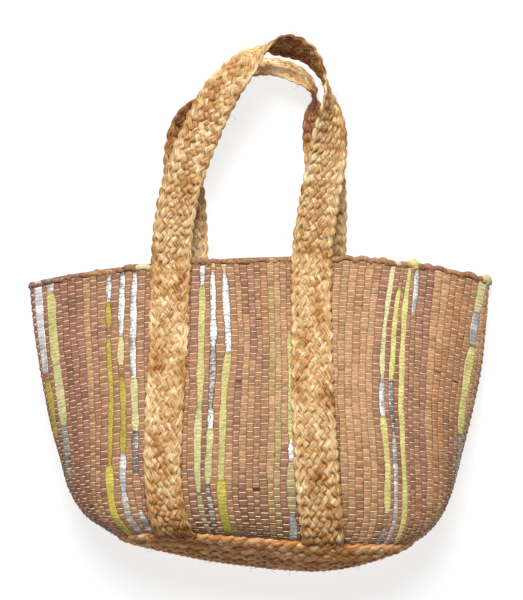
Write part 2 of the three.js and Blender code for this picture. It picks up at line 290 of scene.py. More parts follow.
class Wall:
    """The outside of the woven wall, by share of the way round and share of its height."""

    HEIGHTS = 161
    SHARES = 720

    def __init__(self):
        sections = table_of(SECTION_COLUMNS, SECTION_ROWS)
        heights = np.linspace(0, 1, self.HEIGHTS)
        turns = np.pi / 2 - 2 * np.pi * np.arange(self.SHARES + 1) / self.SHARES
        across = np.cos(turns)[None]
        up = np.sin(turns)[None]
        front = up >= 0
        s = {name: read_column(sections["height"], sections[name], heights)[:, None] for name in sections}
        power = np.where(front, s["front_power"], BACK_POWER)
        u = np.sign(across) * np.abs(across) ** (2 / power)
        x = (s["right_x"] + s["left_x"]) / 2 + (s["right_x"] - s["left_x"]) / 2 * u
        y = s["left_y"] + (s["right_y"] - s["left_y"]) * (u + 1) / 2
        y = y + np.where(front, s["front_bow"], s["back_bow"]) * (1 - np.abs(u) ** BOW_POWER)
        y = y + np.where(front, s["skew"] * u * (1 - u * u), 0)
        floor = np.minimum(self.back_panel(x, heights[:, None]), s["fold_z"] - 1)
        reach = np.where(front, s["crown_z"] - s["fold_z"], s["fold_z"] - floor)
        z = s["fold_z"] + reach * np.sign(up) * np.abs(up) ** (2 / power)
        loops = np.stack([x, y, z], axis=-1)
        steps = np.linalg.norm(np.diff(loops, axis=1), axis=-1)
        lengths = np.concatenate([np.zeros((self.HEIGHTS, 1)), np.cumsum(steps, axis=1)], axis=1)
        self.perimeters = lengths[:, -1]
        shares = np.linspace(0, 1, self.SHARES + 1)
        self.points = np.empty_like(loops)
        for i in range(self.HEIGHTS):
            for axis in range(3):
                self.points[i, :, axis] = np.interp(shares * lengths[i, -1], lengths[i], loops[i, :, axis])
        ahead = np.roll(self.points[:, :-1], -1, axis=1)
        behind = np.roll(self.points[:, :-1], 1, axis=1)
        around = np.concatenate([ahead - behind, (ahead - behind)[:, :1]], axis=1)
        self.rise = np.gradient(self.points, axis=0) * (self.HEIGHTS - 1)
        self.outs = unit(np.cross(around, self.rise))

    @staticmethod
    def back_panel(x, height):
        """Height of the back panel, which lies on the floor and rides up over the back strap's legs."""
        lift = np.zeros_like(x)
        for centre in BACK_LEG_CENTRES:
            lift = np.maximum(lift, 1 - smoothstep(np.abs(x - centre), BACK_BUMP_FLAT, BACK_BUMP_REACH))
        panel = BACK_PANEL_REST + lift * (STRAP_THICKNESS + SEWN_GAP - BACK_PANEL_REST)
        near_seam = 1 - smoothstep(height, 0, BACK_SEAM_REACH)
        return np.maximum(panel, panel + near_seam * (BACK_SEAM_REST - panel))

    def perimeter(self, height):
        """Length round the wall at a height."""
        return np.interp(height, np.linspace(0, 1, self.HEIGHTS), self.perimeters)

    def read(self, grid, share, height):
        """A grid of vectors read between its points."""
        row = np.clip(height, 0, 1) * (self.HEIGHTS - 1)
        column = (share % 1.0) * self.SHARES
        i = np.clip(row.astype(int), 0, self.HEIGHTS - 2)
        j = np.clip(column.astype(int), 0, self.SHARES - 1)
        f = (row - i)[..., None]
        g = (column - j)[..., None]
        low = grid[i, j] * (1 - g) + grid[i, j + 1] * g
        high = grid[i + 1, j] * (1 - g) + grid[i + 1, j + 1] * g
        return low * (1 - f) + high * f

    def at(self, share, height, lift=0.0):
        """Points on the wall, lifted out of it. Past its ends the wall runs on straight."""
        share, height, lift = np.broadcast_arrays(*(np.asarray(v, float) for v in (share, height, lift)))
        beyond = (height - np.clip(height, 0, 1))[..., None]
        place = self.read(self.points, share, height) + beyond * self.read(self.rise, share, height)
        return place + lift[..., None] * self.out(share, height)

    def out(self, share, height):
        """Directions out of the wall."""
        share, height = np.broadcast_arrays(np.asarray(share, float), np.asarray(height, float))
        return unit(self.read(self.outs, share, height))


WALL = Wall()


def set_inputs(node, inputs):
    """Sets a node's inputs, by name or number, or in order from the first.

    A socket is linked, a node is linked by its first output, and anything else is a value.
    """
    if not isinstance(inputs, dict):
        inputs = dict(enumerate(inputs))
    for key, value in inputs.items():
        if isinstance(value, bpy.types.Node):
            value = value.outputs[0]
        if isinstance(value, bpy.types.NodeSocket):
            node.id_data.links.new(value, node.inputs[key])
        else:
            node.inputs[key].default_value = value


def add_node(tree, kind, inputs=(), **settings):
    """Adds a node with its settings and inputs."""
    node = tree.nodes.new(kind)
    for name, value in settings.items():
        setattr(node, name, value)
    set_inputs(node, inputs)
    return node


def new_material(name, inputs):
    """A material with a plain shader, what adds nodes to it, and the shader."""
    material = bpy.data.materials.new(name)
    material.use_nodes = True
    shader = material.node_tree.nodes["Principled BSDF"]
    set_inputs(shader, inputs)
    return material, functools.partial(add_node, material.node_tree), shader


def strip_colour(add, place, shade, edge):
    """A strip's own tone with a pattern's shade, and painted shade at its edge where it rolls under.

    edge: how far from the strip's middle it starts and ends to darken, where its edge is at STRIP_HALF,
    and its shade at each.
    """
    tone = add("ShaderNodeAttribute", attribute_name="strip_colour")
    across = add("ShaderNodeSeparateXYZ", (place,))
    aside = add("ShaderNodeMath", (across,), operation="ABSOLUTE")
    painted_edge_shade = add("ShaderNodeMapRange", (aside, *edge))
    depth = add("ShaderNodeMath", (shade, painted_edge_shade), operation="MULTIPLY")
    return add("ShaderNodeHueSaturation", {"Color": tone, "Value": depth})


def rag_strip_material():
    """Offcuts of soft leather and cotton: matt, and puckered across each strip by the threads, with painted
    shade and light in the puckers.
    """
    material, add, shader = new_material(
        "soft leather and cotton offcuts", {"Roughness": 0.72, "Specular IOR Level": 0.3}
    )
    place = add("ShaderNodeAttribute", attribute_name="strip_place").outputs["Vector"]
    # Puckers are about 2 mm apart along a strip and run for about 4 mm across it.
    puckers_a_mm = (1 / 4, 1 / 2, 1.0)
    stretched = add("ShaderNodeMapping", {"Vector": place, "Scale": puckers_a_mm})
    creases = add("ShaderNodeTexNoise", {"Vector": stretched, "Scale": 1.0, "Detail": 4.0, "Roughness": 0.7})
    # The puckers also colour the strip: painted shade in their hollows and painted light on their tops.
    shade = add("ShaderNodeMapRange", (creases, 0.32, 0.68, 0.6, 1.38))
    # The last third of a strip's half width rolls under and gets painted shadow.
    colour = strip_colour(add, place, shade, (2.8, 3.9, 1.03, 0.85))
    bump = add("ShaderNodeBump", {"Height": creases, "Strength": 0.5, "Distance": 0.5 * MM})
    set_inputs(shader, {"Base Color": colour, "Normal": bump})
    return material


def foil_material():
    """Silvered film cut in strips: bright, crumpled metal that catches the light in small facets."""
    material, add, shader = new_material("crumpled silver film", {"Roughness": 0.38, "Metallic": 0.2})
    place = add("ShaderNodeAttribute", attribute_name="strip_place").outputs["Vector"]
    # Crumples are about 4 mm across, a little longer across the strip than along it.
    crumples_a_mm = (0.2, 0.27, 1.0)
    stretched = add("ShaderNodeMapping", {"Vector": place, "Scale": crumples_a_mm})
    crumples = add("ShaderNodeTexNoise", {"Vector": stretched, "Scale": 1.0, "Detail": 1.0})
    # Greyer stretches, where the film has dulled, are about 12 mm long.
    stretches_a_mm = (0.12, 0.085, 1.0)
    lengths = add("ShaderNodeMapping", {"Vector": place, "Scale": stretches_a_mm})
    dulled = add("ShaderNodeTexNoise", {"Vector": lengths, "Scale": 1.0, "Detail": 2.0})
    shade = add("ShaderNodeMapRange", (dulled, 0.36, 0.62, 0.64, 1.04))
    # The outer half of a strip rolls under and gets painted shade, greyer towards the edge.
    colour = strip_colour(add, place, shade, (1.8, 3.5, 1.0, 0.7))
    bump = add("ShaderNodeBump", {"Height": crumples, "Strength": 0.66, "Distance": 1.8 * MM})
    set_inputs(shader, {"Base Color": colour, "Normal": bump})
    return material


def cotton_thread_material(colour):
    """Undyed cotton warp thread: cream and quite matt."""
    return new_material("undyed cotton thread", {"Base Color": colour, "Roughness": 0.85})[0]


def jute_material(name, dark, straw, pale):
    """Plaited jute: matt straw colour in fine long fibres, paler and browner from strand to strand."""
    material, add, shader = new_material(name, {"Roughness": 0.8, "Specular IOR Level": 0.25})
    along, across, number, tone = (
        add("ShaderNodeAttribute", attribute_name=layer).outputs["Fac"]
        for layer in ("along", "across", "strand_number", "strand_tone")
    )
    # A strand shows about four bundles of fibres side by side, each about 14 mm long, with finer ones in it.
    bundle_length = 14 * MM
    bundles_across = 4.0
    strands_apart = 7.3
    grain = add("ShaderNodeCombineXYZ", (along, across, number))
    grain_scale = (1 / bundle_length, bundles_across, strands_apart)
    bundles = add("ShaderNodeMapping", {"Vector": grain, "Scale": grain_scale})
    fibres = add("ShaderNodeTexNoise", {"Vector": bundles, "Scale": 1.0, "Detail": 3.0, "Roughness": 0.65})
    # Patches of paler and browner jute are about 15 mm across.
    patch_size = 15 * MM
    patch_share = 0.2
    where = add("ShaderNodeTexCoord").outputs["Object"]
    patches = add("ShaderNodeTexNoise", {"Vector": where, "Scale": 1 / patch_size, "Detail": 2.0})
    mixed = add("ShaderNodeMix", {0: patch_share, 2: fibres, 3: patches})
    ramp = add("ShaderNodeValToRGB", (mixed,))
    # A ramp starts with a stop at each end, and the third goes between them.
    ramp.color_ramp.elements.new(0.5)
    stops = ((0.36, dark), (0.52, straw), (0.66, pale))
    for element, (position, colour) in zip(ramp.color_ramp.elements, stops):
        element.position = position
        element.color = colour
    # Browner strands are darker, redder and stronger in colour than pale ones, and so is the painted shade
    # below a tone of 0. The darkest are dull again.
    shade = add("ShaderNodeMapRange", (tone, TONE_FLOOR, 1.0, 0.2, 1.16))
    hue = add("ShaderNodeMapRange", (tone, TONE_FLOOR, 1.0, 0.462, 0.518))
    strength = add("ShaderNodeMapRange", (tone, 0.0, 1.0, 1.22, 0.8))
    dulled = add("ShaderNodeMapRange", (tone, TONE_FLOOR, 0.4, 0.75, 1.0))
    purity = add("ShaderNodeMath", (strength, dulled), operation="MULTIPLY")
    tinted = add("ShaderNodeHueSaturation", {"Color": ramp, "Hue": hue, "Saturation": purity, "Value": shade})
    bump = add("ShaderNodeBump", {"Height": fibres, "Strength": 0.9, "Distance": 1.0 * MM})
    set_inputs(shader, {"Base Color": tinted, "Normal": bump})
    return material


def floor_material(colour, glow):
    """Matt white studio paper, lit softly from beneath so that shadows on it stay faint."""
    inputs = {
        "Base Color": colour, "Roughness": 0.9, "Specular IOR Level": 0.1,
        "Emission Color": linear("#ffffff"), "Emission Strength": glow,
    }
    return new_material("matt white paper", inputs)[0]


# Materials, geometry trees and the strips, once they are made
MADE = {}


def made_once(make, *words):
    """What a function makes, made the first time it is wanted."""
    key = (make.__name__, *words)
    if key not in MADE:
        MADE[key] = make(*words)
    return MADE[key]


def strap_jute(settings):
    """The golden jute of the straps."""
    colours = (settings.strap_dark[:], settings.strap_straw[:], settings.strap_pale[:])
    return made_once(jute_material, "plaited jute, golden", *colours)


def base_jute(settings):
    """The browner jute of the base."""
    colours = (settings.base_dark[:], settings.base_straw[:], settings.base_pale[:])
    return made_once(jute_material, "braided jute, brown", *colours)


# Kind and field of a layer on a mesh's points, by how many numbers it has for each
LAYER_KINDS = {1: ("FLOAT", "value"), 3: ("FLOAT_VECTOR", "vector"), 4: ("FLOAT_COLOR", "color")}


def add_layers(mesh, layers):
    """Stores numbers, vectors or colours on a mesh's points."""
    for name, values in layers.items():
        values = np.asarray(values, np.float32).reshape(len(mesh.vertices), -1)
        kind, field = LAYER_KINDS[values.shape[1]]
        layer = mesh.attributes.new(name, kind, "POINT")
        layer.data.foreach_set(field, values.ravel())


def mesh_object(name, points, faces, materials, layers=None, slots=None):
    """A smooth mesh object at the origin from points in millimetres."""
    mesh = bpy.data.meshes.new(name)
    mesh.from_pydata((np.asarray(points) * MM).tolist(), [], faces)
    for material in materials:
        mesh.materials.append(material)
    add_layers(mesh, layers or {})
    if slots is not None:
        mesh.polygons.foreach_set("material_index", np.asarray(slots, np.int32))
    mesh.shade_smooth()
    piece = bpy.data.objects.new(name, mesh)
    bpy.context.collection.objects.link(piece)
    return piece


def dress(piece, node):
    """Ties a finished piece to the part."""
    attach(piece, "root")
    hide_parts(node)


def new_tree(name, **sockets):
    """A geometry tree with named inputs, what adds nodes to it, what it is given, and its output node."""
    tree = bpy.data.node_groups.new(name, "GeometryNodeTree")
    tree.interface.new_socket("Geometry", in_out="INPUT", socket_type="NodeSocketGeometry")
    for socket, kind in sockets.items():
        tree.interface.new_socket(socket, in_out="INPUT", socket_type="NodeSocket" + kind)
    tree.interface.new_socket("Geometry", in_out="OUTPUT", socket_type="NodeSocketGeometry")
    add = functools.partial(add_node, tree)
    return tree, add, add("NodeGroupInput").outputs, add("NodeGroupOutput")


def sweep_tree():
    """Sweeps a flattened round along each line of a mesh, its flat side facing as the line says."""
    tree, add, given, made = new_tree(
        "strand along a line", Width="Float", Thickness="Float", Sides="Int", Material="Material"
    )
    facing = add("GeometryNodeInputNamedAttribute", {"Name": "faces_out"}, data_type="FLOAT_VECTOR")
    girth = add("GeometryNodeInputNamedAttribute", {"Name": "girth"}, data_type="FLOAT")
    curve = add("GeometryNodeMeshToCurve", {"Mesh": given["Geometry"]})
    normal = facing.outputs["Attribute"]
    turned = add("GeometryNodeSetCurveNormal", {"Curve": curve, "Normal": normal}, mode="FREE")
    length = add("GeometryNodeSplineParameter").outputs["Length"]
    measured = add(
        "GeometryNodeStoreNamedAttribute", {"Geometry": turned, "Name": "along", "Value": length},
        data_type="FLOAT",
    )
    ring = add("GeometryNodeCurvePrimitiveCircle", {"Resolution": given["Sides"], "Radius": 0.5})
    place = add("GeometryNodeInputPosition")
    side = add("ShaderNodeSeparateXYZ", (place,)).outputs["Y"]
    marked = add(
        "GeometryNodeStoreNamedAttribute", {"Geometry": ring, "Name": "across", "Value": side},
        data_type="FLOAT",
    )
    sizes = add("ShaderNodeCombineXYZ", (given["Thickness"], given["Width"], 1.0))
    profile = add("GeometryNodeTransform", {"Geometry": marked, "Scale": sizes})
    tube = add(
        "GeometryNodeCurveToMesh",
        {"Curve": measured, "Profile Curve": profile, "Scale": girth.outputs["Attribute"], "Fill Caps": True},
    )
    smooth = add("GeometryNodeSetShadeSmooth", {"Geometry": tube})
    painted = add("GeometryNodeSetMaterial", {"Geometry": smooth, "Material": given["Material"]})
    set_inputs(made, (painted,))
    return tree


def fibre_tree():
    """Scatters short loose fibres over a mesh, leaning away from its surface."""
    tree, add, given, made = new_tree(
        "loose fibres", Density="Float", Length="Float", Thickness="Float", Lowest="Float",
        Seed="Int", Material="Material",
    )
    place = add("GeometryNodeInputPosition")
    height = add("ShaderNodeSeparateXYZ", (place,)).outputs["Z"]
    clear = add(
        "FunctionNodeCompare", (height, given["Lowest"]), data_type="FLOAT", operation="GREATER_THAN"
    )
    roots = add(
        "GeometryNodeDistributePointsOnFaces",
        {
            "Mesh": given["Geometry"], "Selection": clear,
            "Density": given["Density"], "Seed": given["Seed"],
        },
    )
    # A fibre about one long leaves its strand, bends over and lies along it.
    hair = add(
        "GeometryNodeCurvePrimitiveBezierSegment",
        {
            "Resolution": FIBRE_STEPS, "Start": (0, 0, 0), "Start Handle": (0, 0.1, 0.35),
            "End Handle": (0.1, 0.45, 0.6), "End": (0.25, 0.9, 0.55),
        },
    )
    length = add("ShaderNodeCombineXYZ", (given["Length"], given["Length"], given["Length"]))
    sized = add("GeometryNodeTransform", {"Geometry": hair, "Scale": length})
    ring = add("GeometryNodeCurvePrimitiveCircle", {"Resolution": FIBRE_SIDES, "Radius": given["Thickness"]})
    strand = add("GeometryNodeCurveToMesh", {"Curve": sized, "Profile Curve": ring, "Fill Caps": True})
    least = (-FIBRE_LEAN, -FIBRE_LEAN, 0.0)
    most = (FIBRE_LEAN, FIBRE_LEAN, 2 * math.pi)
    lean = add(
        "FunctionNodeRandomValue", {0: least, 1: most, "Seed": given["Seed"]}, data_type="FLOAT_VECTOR"
    )
    swing = add("FunctionNodeEulerToRotation", (lean,))
    facing = add("FunctionNodeRotateRotation", (roots.outputs["Rotation"], swing), rotation_space="LOCAL")
    low, high = FIBRE_SIZES
    sizes = add("FunctionNodeRandomValue", {2: low, 3: high, "Seed": given["Seed"]}, data_type="FLOAT")
    placed = add(
        "GeometryNodeInstanceOnPoints",
        {"Points": roots, "Instance": strand, "Rotation": facing, "Scale": sizes.outputs[1]},
    )
    real = add("GeometryNodeRealizeInstances", {"Geometry": placed})
    painted = add("GeometryNodeSetMaterial", {"Geometry": real, "Material": given["Material"]})
    set_inputs(made, (painted,))
    return tree


def run_tree(make, source, name, values):
    """Puts a mesh through a geometry tree and returns the result as a plain mesh object."""
    tree = made_once(make)
    modifier = source.modifiers.new(tree.name, "NODES")
    modifier.node_group = tree
    for item in tree.interface.items_tree:
        if item.in_out == "INPUT" and item.name in values:
            modifier[item.identifier] = values[item.name]
    settled = source.evaluated_get(bpy.context.evaluated_depsgraph_get())
    mesh = bpy.data.meshes.new_from_object(settled)
    source.modifiers.remove(modifier)
    mesh.name = name
    piece = bpy.data.objects.new(name, mesh)
    bpy.context.collection.objects.link(piece)
    return piece


def sweep(name, strands, closed, width, thickness, sides, material):
    """A piece of strands, whose width lies along the surface and thickness out of it.

    strands: for each its points in millimetres, its directions out of the surface, and by name what else
    is stored on its points.
    """
    lines, faces_out, extras = zip(*strands)
    counts = [len(line) for line in lines]
    starts = np.concatenate([[0], np.cumsum(counts)[:-1]])
    edges = []
    for start, count in zip(starts, counts):
        run = np.arange(start, start + count)
        pairs = np.stack([run, np.roll(run, -1)], axis=1)
        edges.append(pairs if closed else pairs[:-1])
    mesh = bpy.data.meshes.new(name + "_lines")
    mesh.from_pydata((np.concatenate(lines) * MM).tolist(), np.concatenate(edges).tolist(), [])
    layers = {
        "faces_out": np.concatenate(faces_out),
        "girth": np.ones(sum(counts)),
        "strand_number": np.repeat(np.arange(len(lines)), counts),
    }
    for key in extras[0]:
        layers[key] = np.concatenate([extra[key] for extra in extras])
    add_layers(mesh, layers)
    source = bpy.data.objects.new(name + "_lines", mesh)
    bpy.context.collection.objects.link(source)
    values = {"Width": width * MM, "Thickness": thickness * MM, "Sides": sides, "Material": material}
    piece = run_tree(sweep_tree, source, name, values)
    bpy.data.objects.remove(source)
    bpy.data.meshes.remove(mesh)
    return piece


def loose_fibres(strands, node, density, seed, material):
    """Short loose fibres on a piece's strands, where they are clear of the floor."""
    values = {
        "Density": density, "Length": FIBRE_LENGTH * MM, "Thickness": FIBRE_RADIUS * MM,
        "Lowest": FIBRE_FLOOR * MM, "Seed": seed, "Material": material,
    }
    fibres = run_tree(fibre_tree, strands, strands.name + "_fibres", values)
    dress(fibres, node)


def wave(rng, count, length, slowest, rows):
    """Smooth random waves, one a row, of about unit height."""
    at = np.linspace(0, 1, count)[None]
    total = np.zeros((rows, count))
    for octave in WAVE_PACES:
        pace = rng.uniform(*WAVE_STRAYS, (rows, 1)) * length / slowest * octave
        total += np.sin(2 * np.pi * (pace * at + rng.uniform(0, 1, (rows, 1)))) / octave
    return total / WAVE_HEIGHT


class Strips:
    """The rag strips round the wall: their middles, edges and tones at each level of the weave."""

    # Gap between guides that has room for a plain strip, in mm, and how wide plain strips are beside others
    ROOM_FOR_ONE = 7.5
    PLAIN_WEIGHTS = (0.8, 1.2)

    # Lengths in mm over which a strip drifts to the side and its width ebbs, and where its drift is measured
    DRIFT_LENGTH = 70.0
    DRIFT_HEIGHT = 0.6
    EBB_LENGTH = 60.0

    # Width that an accent narrows to at its ends, and the share of the wall's height that it does so in
    END_WIDTH = 0.45
    END_REACH = 0.035

    # Lengths of one plain tone, as shares of the height, and how much of its own tone a plain strip keeps
    TONE_LENGTHS = (0.15, 0.6)
    OWN_TONE = 0.68

    # Spread of shade from brick to brick, how many times that on smooth strips and film, and slower patches
    BRICK_SPREAD = 0.08
    ACCENT_LIVELY = 0.3
    FOIL_LIVELY = 2.0
    PATCHINESS = 0.08
    PATCH_LENGTH = 45.0

    # Painted shades where a smooth strip or film goes over a thread, where a thread pinches a strip, in the
    # notch where an accent ends and in small holes in the weave, and the range that all shades keep to
    CROSSED_SHADE = 0.78
    FOIL_CROSSED_SHADE = 0.7
    PINCHED_SHADE = 0.8
    JOINT_SHADE = 0.55
    HOLE_SHADE = 0.2
    DARKEST = 0.15
    BRIGHTEST = 1.25

    # Painted shade at the wall's foot in the middle of the front, and painted light there away from it, how
    # high it reaches, and how far round it changes from the one to the other
    FOOT_SHADE = 0.6
    FOOT_SHADE_AT_SIDES = 1.22
    FOOT_REACH = 0.3
    SIDES_FROM = 0.08
    SIDES_TO = 0.16

    # Swell of a plain strip between threads, and of a smooth one at a thread
    SWELL_BETWEEN = 0.7
    SMOOTH_SWELL = 0.3

    def __init__(self, settings, colours):
        self.levels = 2 * settings.thread_count + 1
        self.heights = np.linspace(0, 1, self.levels)
        self.rng = np.random.default_rng(settings.seed)
        self.lay_out(settings.strip_width / MM)
        self.count = len(self.weights)
        drift = wave(self.rng, self.levels, WALL_DEPTH, self.DRIFT_LENGTH, self.count)
        drift = drift * settings.wander / MM / WALL.perimeter(self.DRIFT_HEIGHT)
        self.middles = np.array([read_column(GUIDE_HEIGHTS, row, self.heights) for row in self.rows]) + drift
        self.paint(colours)
        ahead = np.roll(self.middles, -1, axis=0)
        ahead[-1] += 1
        ebb = wave(self.rng, self.levels, WALL_DEPTH, self.EBB_LENGTH, self.count)
        ebb = 1 + settings.unevenness * ebb
        weight = self.weights[:, None] * ebb * self.taper
        next_weight = np.roll(weight, -1, axis=0)
        self.right = self.middles + (ahead - self.middles) * weight / (weight + next_weight)
        self.left = np.roll(self.right, 1, axis=0)
        self.left[0] -= 1

    def lay_out(self, strip_width):
        """Puts the plain strips evenly between the guides, all the way round."""
        shares = [np.array(row, float) / THOUSANDTHS for _, _, row in GUIDE_ROWS]
        shares.append(shares[0] + 1)
        halfway = GUIDE_HEIGHTS.index(HALF_HEIGHT)
        rows = []
        weights = []
        names = []
        for n, (name, weight, _) in enumerate(GUIDE_ROWS):
            here = shares[n]
            following = shares[n + 1]
            rows.append(here)
            weights.append(weight)
            names.append(name)
            gap = (following - here)[halfway] * WALL.perimeter(HALF_HEIGHT)
            plain = max(int(round(gap / strip_width)) - 1, 1 if gap > self.ROOM_FOR_ONE else 0)
            for k in range(plain):
                f = (k + 1) / (plain + 1)
                rows.append(here + (following - here) * f)
                weights.append(self.rng.uniform(*self.PLAIN_WEIGHTS))
                names.append(None)
        # Over and under only come out even round the wall with an even number of strips.
        even = len(rows) - len(rows) % 2
        self.rows = rows[:even]
        self.weights = np.array(weights[:even])
        self.names = names[:even]

    def paint(self, colours):
        """Gives each strip its lengths of tone, and each length its shade."""
        zones = table_of(ZONE_COLUMNS, ZONE_ROWS)
        chances = np.stack([zones[name] for name in PLAIN_TONES], axis=1)
        tones = list(ToneSettings.__annotations__)
        self.tone = np.zeros((self.count, self.levels), int)
        self.accent = np.zeros((self.count, self.levels), bool)
        self.joint = np.zeros((self.count, self.levels), bool)
        self.taper = np.ones((self.count, self.levels))
        zone_of = np.zeros(self.count, int)
        for i in range(self.count):
            place = self.from_front(self.middles[i, self.levels // 2]) * THOUSANDTHS
            zone_of[i] = min(np.searchsorted(zones["to"], place), len(chances) - 1)
            zone = chances[zone_of[i]]
            height = 0.0
            while height < 1:
                length = self.rng.uniform(*self.TONE_LENGTHS)
                pick = self.rng.choice(len(PLAIN_TONES), p=zone / zone.sum())
                inside = (self.heights >= height) & (self.heights < height + length)
                self.tone[i, inside] = tones.index(PLAIN_TONES[pick])
                height += length
            for low, high, tone in ACCENTS.get(self.names[i], ()):
                inside = (self.heights >= low) & (self.heights <= high)
                self.tone[i, inside] = tones.index(tone)
                self.accent[i, inside] = tone in SMOOTH_TONES
                lower = self.heights - low if low > 0 else np.ones(self.levels)
                upper = high - self.heights if high < 1 else np.ones(self.levels)
                full = smoothstep(np.minimum(lower, upper), 0, self.END_REACH)
                narrowing = self.END_WIDTH + (1 - self.END_WIDTH) * full
                self.taper[i, inside] = narrowing[inside] * TONE_WIDTHS.get(tone, 1.0)
                if high < 1:
                    self.joint[i, np.nonzero(inside)[0][-1]] = True
        palette = np.array([getattr(colours, name)[:] for name in tones])
        plain = [tones.index(name) for name in PLAIN_TONES]
        # A brick is what shows of a strip from one thread over it to the next, which is four levels on.
        strip = np.arange(self.count)[:, None]
        level = np.arange(self.levels)[None]
        brick = (level + 3 - 2 * (strip % 2)) // 4
        bricks = self.rng.normal(0, self.BRICK_SPREAD, (self.count, brick.max() + 1))
        self.foil = np.isin(self.tone, [tones.index(name) for name in FOIL_TONES])
        lively = np.where(self.foil, self.FOIL_LIVELY, np.where(self.accent, self.ACCENT_LIVELY, 1.0))
        shade = 1 + lively * np.take_along_axis(bricks, brick, axis=1)
        shade += self.PATCHINESS * wave(self.rng, self.levels, WALL_DEPTH, self.PATCH_LENGTH, self.count)
        # Threads run at the odd levels, each over every other strip that isn't smooth.
        self.at_thread = level % 2 == 1
        self.pinched = ~self.accent & self.at_thread & ((strip + level // 2) % 2 == 0)
        # Painted shade in the hollows at the threads, beside threads that pinch a strip, and in the notches
        # where accents end.
        crossed_shade = np.where(self.foil, self.FOIL_CROSSED_SHADE, self.CROSSED_SHADE)
        shade = np.where(self.accent & self.at_thread, shade * crossed_shade, shade)
        shade = np.where(self.joint, shade * self.JOINT_SHADE, shade)
        shade = np.where(self.pinched, shade * self.PINCHED_SHADE, shade)
        # Painted shade at the foot of the front and painted light at the foot to the sides; film keeps its
        # colour there.
        aside = smoothstep(np.abs(self.from_front(self.middles[:, :1])), self.SIDES_FROM, self.SIDES_TO)
        foot = self.FOOT_SHADE + (self.FOOT_SHADE_AT_SIDES - self.FOOT_SHADE) * aside
        foot = np.where(self.foil, 1.0, foot)
        shade *= foot + (1 - foot) * smoothstep(self.heights, 0, self.FOOT_REACH)[None]
        # Painted shade in small holes in the weave.
        for place, height in HOLE_SHADE_ROWS:
            at = round(height * (self.levels - 1))
            apart = np.abs(self.from_front(self.middles[:, at] - place / THOUSANDTHS))
            shade[apart.argmin(), at] *= self.HOLE_SHADE
        # A plain strip is drawn a little towards the usual tone of its zone.
        kept = np.where(np.isin(self.tone, plain), self.OWN_TONE, 1.0)[..., None]
        usual = (chances / chances.sum(axis=1, keepdims=True)) @ palette[plain]
        self.colours = palette[self.tone] * kept + usual[zone_of][:, None] * (1 - kept)
        self.colours[..., :3] *= np.clip(shade, self.DARKEST, self.BRIGHTEST)[..., None]

    @staticmethod
    def from_front(share):
        """How far round a place is from the middle of the front, less than zero to the left."""
        return (share + 0.5) % 1 - 0.5

    def halves(self, name):
        """Names for the front and back halves of a piece, with which strips are in each."""
        front = np.abs(self.from_front(self.middles[:, self.levels // 2])) < 0.25
        return (name + "_front", front), (name + "_back", ~front)

    @staticmethod
    def run_of(chosen):
        """The chosen strips in order, from the first after a gap, and the one that follows the last."""
        count = len(chosen)
        first = next(i for i in range(count) if chosen[i] and not chosen[i - 1])
        return np.arange(first, first + chosen.sum() + 1) % count

    def swell(self):
        """1 where a strip swells out over a thread, 0 where a thread lies across it."""
        plain = np.where(self.pinched, 0.0, np.where(self.at_thread, 1.0, self.SWELL_BETWEEN))
        smooth = np.where(self.at_thread, self.SMOOTH_SWELL, 1.0)
        return np.where(self.accent, smooth, plain)


def colour_property(name, description, text):
    """A colour that a user may change, given as an sRGB hex value."""
    return bpy.props.FloatVectorProperty(
        name=name, description=description, default=linear(text), size=4, min=0, max=1, subtype="COLOR"
    )


def length_property(name, description, millimetres):
    """A length that a user may change."""
    return bpy.props.FloatProperty(
        name=name, description=description, default=millimetres * MM, unit="LENGTH"
    )


class ToneSettings(bpy.types.PropertyGroup):
    """Colours of the strips"""

    brown: colour_property("Brown", "Plain leather strips", "#a57a58")
    mauve: colour_property("Mauve", "Plain strips with a touch of purple", "#9c6d5a")
    umber: colour_property("Umber", "The darkest plain strips", "#8c6148")
    tan: colour_property("Tan", "Light plain strips", "#bd9169")
    ochre: colour_property("Ochre", "Yellowish plain strips", "#b28a60")
    khaki: colour_property("Khaki", "Greenish plain strips", "#ae9460")
    rust: colour_property("Rust", "Reddish plain strips", "#ae7a52")
    lime: colour_property("Lime", "Lime strips", "#d1c582")
    bright_lime: colour_property("Bright lime", "The strongest lime strips", "#e0d386")
    pale_lime: colour_property("Pale lime", "Faded lime strips", "#d7cd94")
    cream_lime: colour_property("Cream lime", "Cream strips with a touch of lime", "#e2d6a4")
    yellow: colour_property("Yellow", "Broad yellow strips by the base", "#dcc85c")
    mustard: colour_property("Mustard", "Dark yellow strips", "#c0a84a")
    olive: colour_property("Olive", "Greyish green strips", "#b3a577")
    silver: colour_property("Silver", "Silvered film", "#e0dbd2")
    dull_silver: colour_property("Dull silver", "Silvered film under the threads", "#dcd5cd")
    grey_silver: colour_property("Grey silver", "Silvered film that has darkened", "#9a938a")
    # Film with a painted highlight, drawn brighter where it faces the light
    painted_highlight_silver: colour_property("Bright silver", "Silvered film that faces the light", "#fdfaf4")


class WeaveSettings(bpy.types.PropertyGroup):
    """Sizes of the strips and the threads"""

    strip_width: length_property("Strip width", "About how wide the rag strips are", 6.9)
    thread_count: bpy.props.IntProperty(
        name="Threads", description="Cotton threads from the base to the mouth", default=78
    )
    thread_width: length_property("Thread width", "Thickness of a cotton thread", 1.08)
    swell: length_property("Swell", "How far a strip swells out between threads", 0.7)
    pinch: length_property("Pinch", "How far a thread presses a strip in", 0.9)
    unevenness: bpy.props.FloatProperty(
        name="Unevenness", description="How much a strip's width comes and goes, as a share of it",
        default=0.2, min=0, max=1, subtype="FACTOR",
    )
    wander: length_property("Wander", "How far a strip strays to the side", 0.5)
    thread_colour: colour_property("Thread colour", "Undyed cotton", "#fadbb8")
    seed: bpy.props.IntProperty(name="Seed", description="Order of the plain strips", default=11)


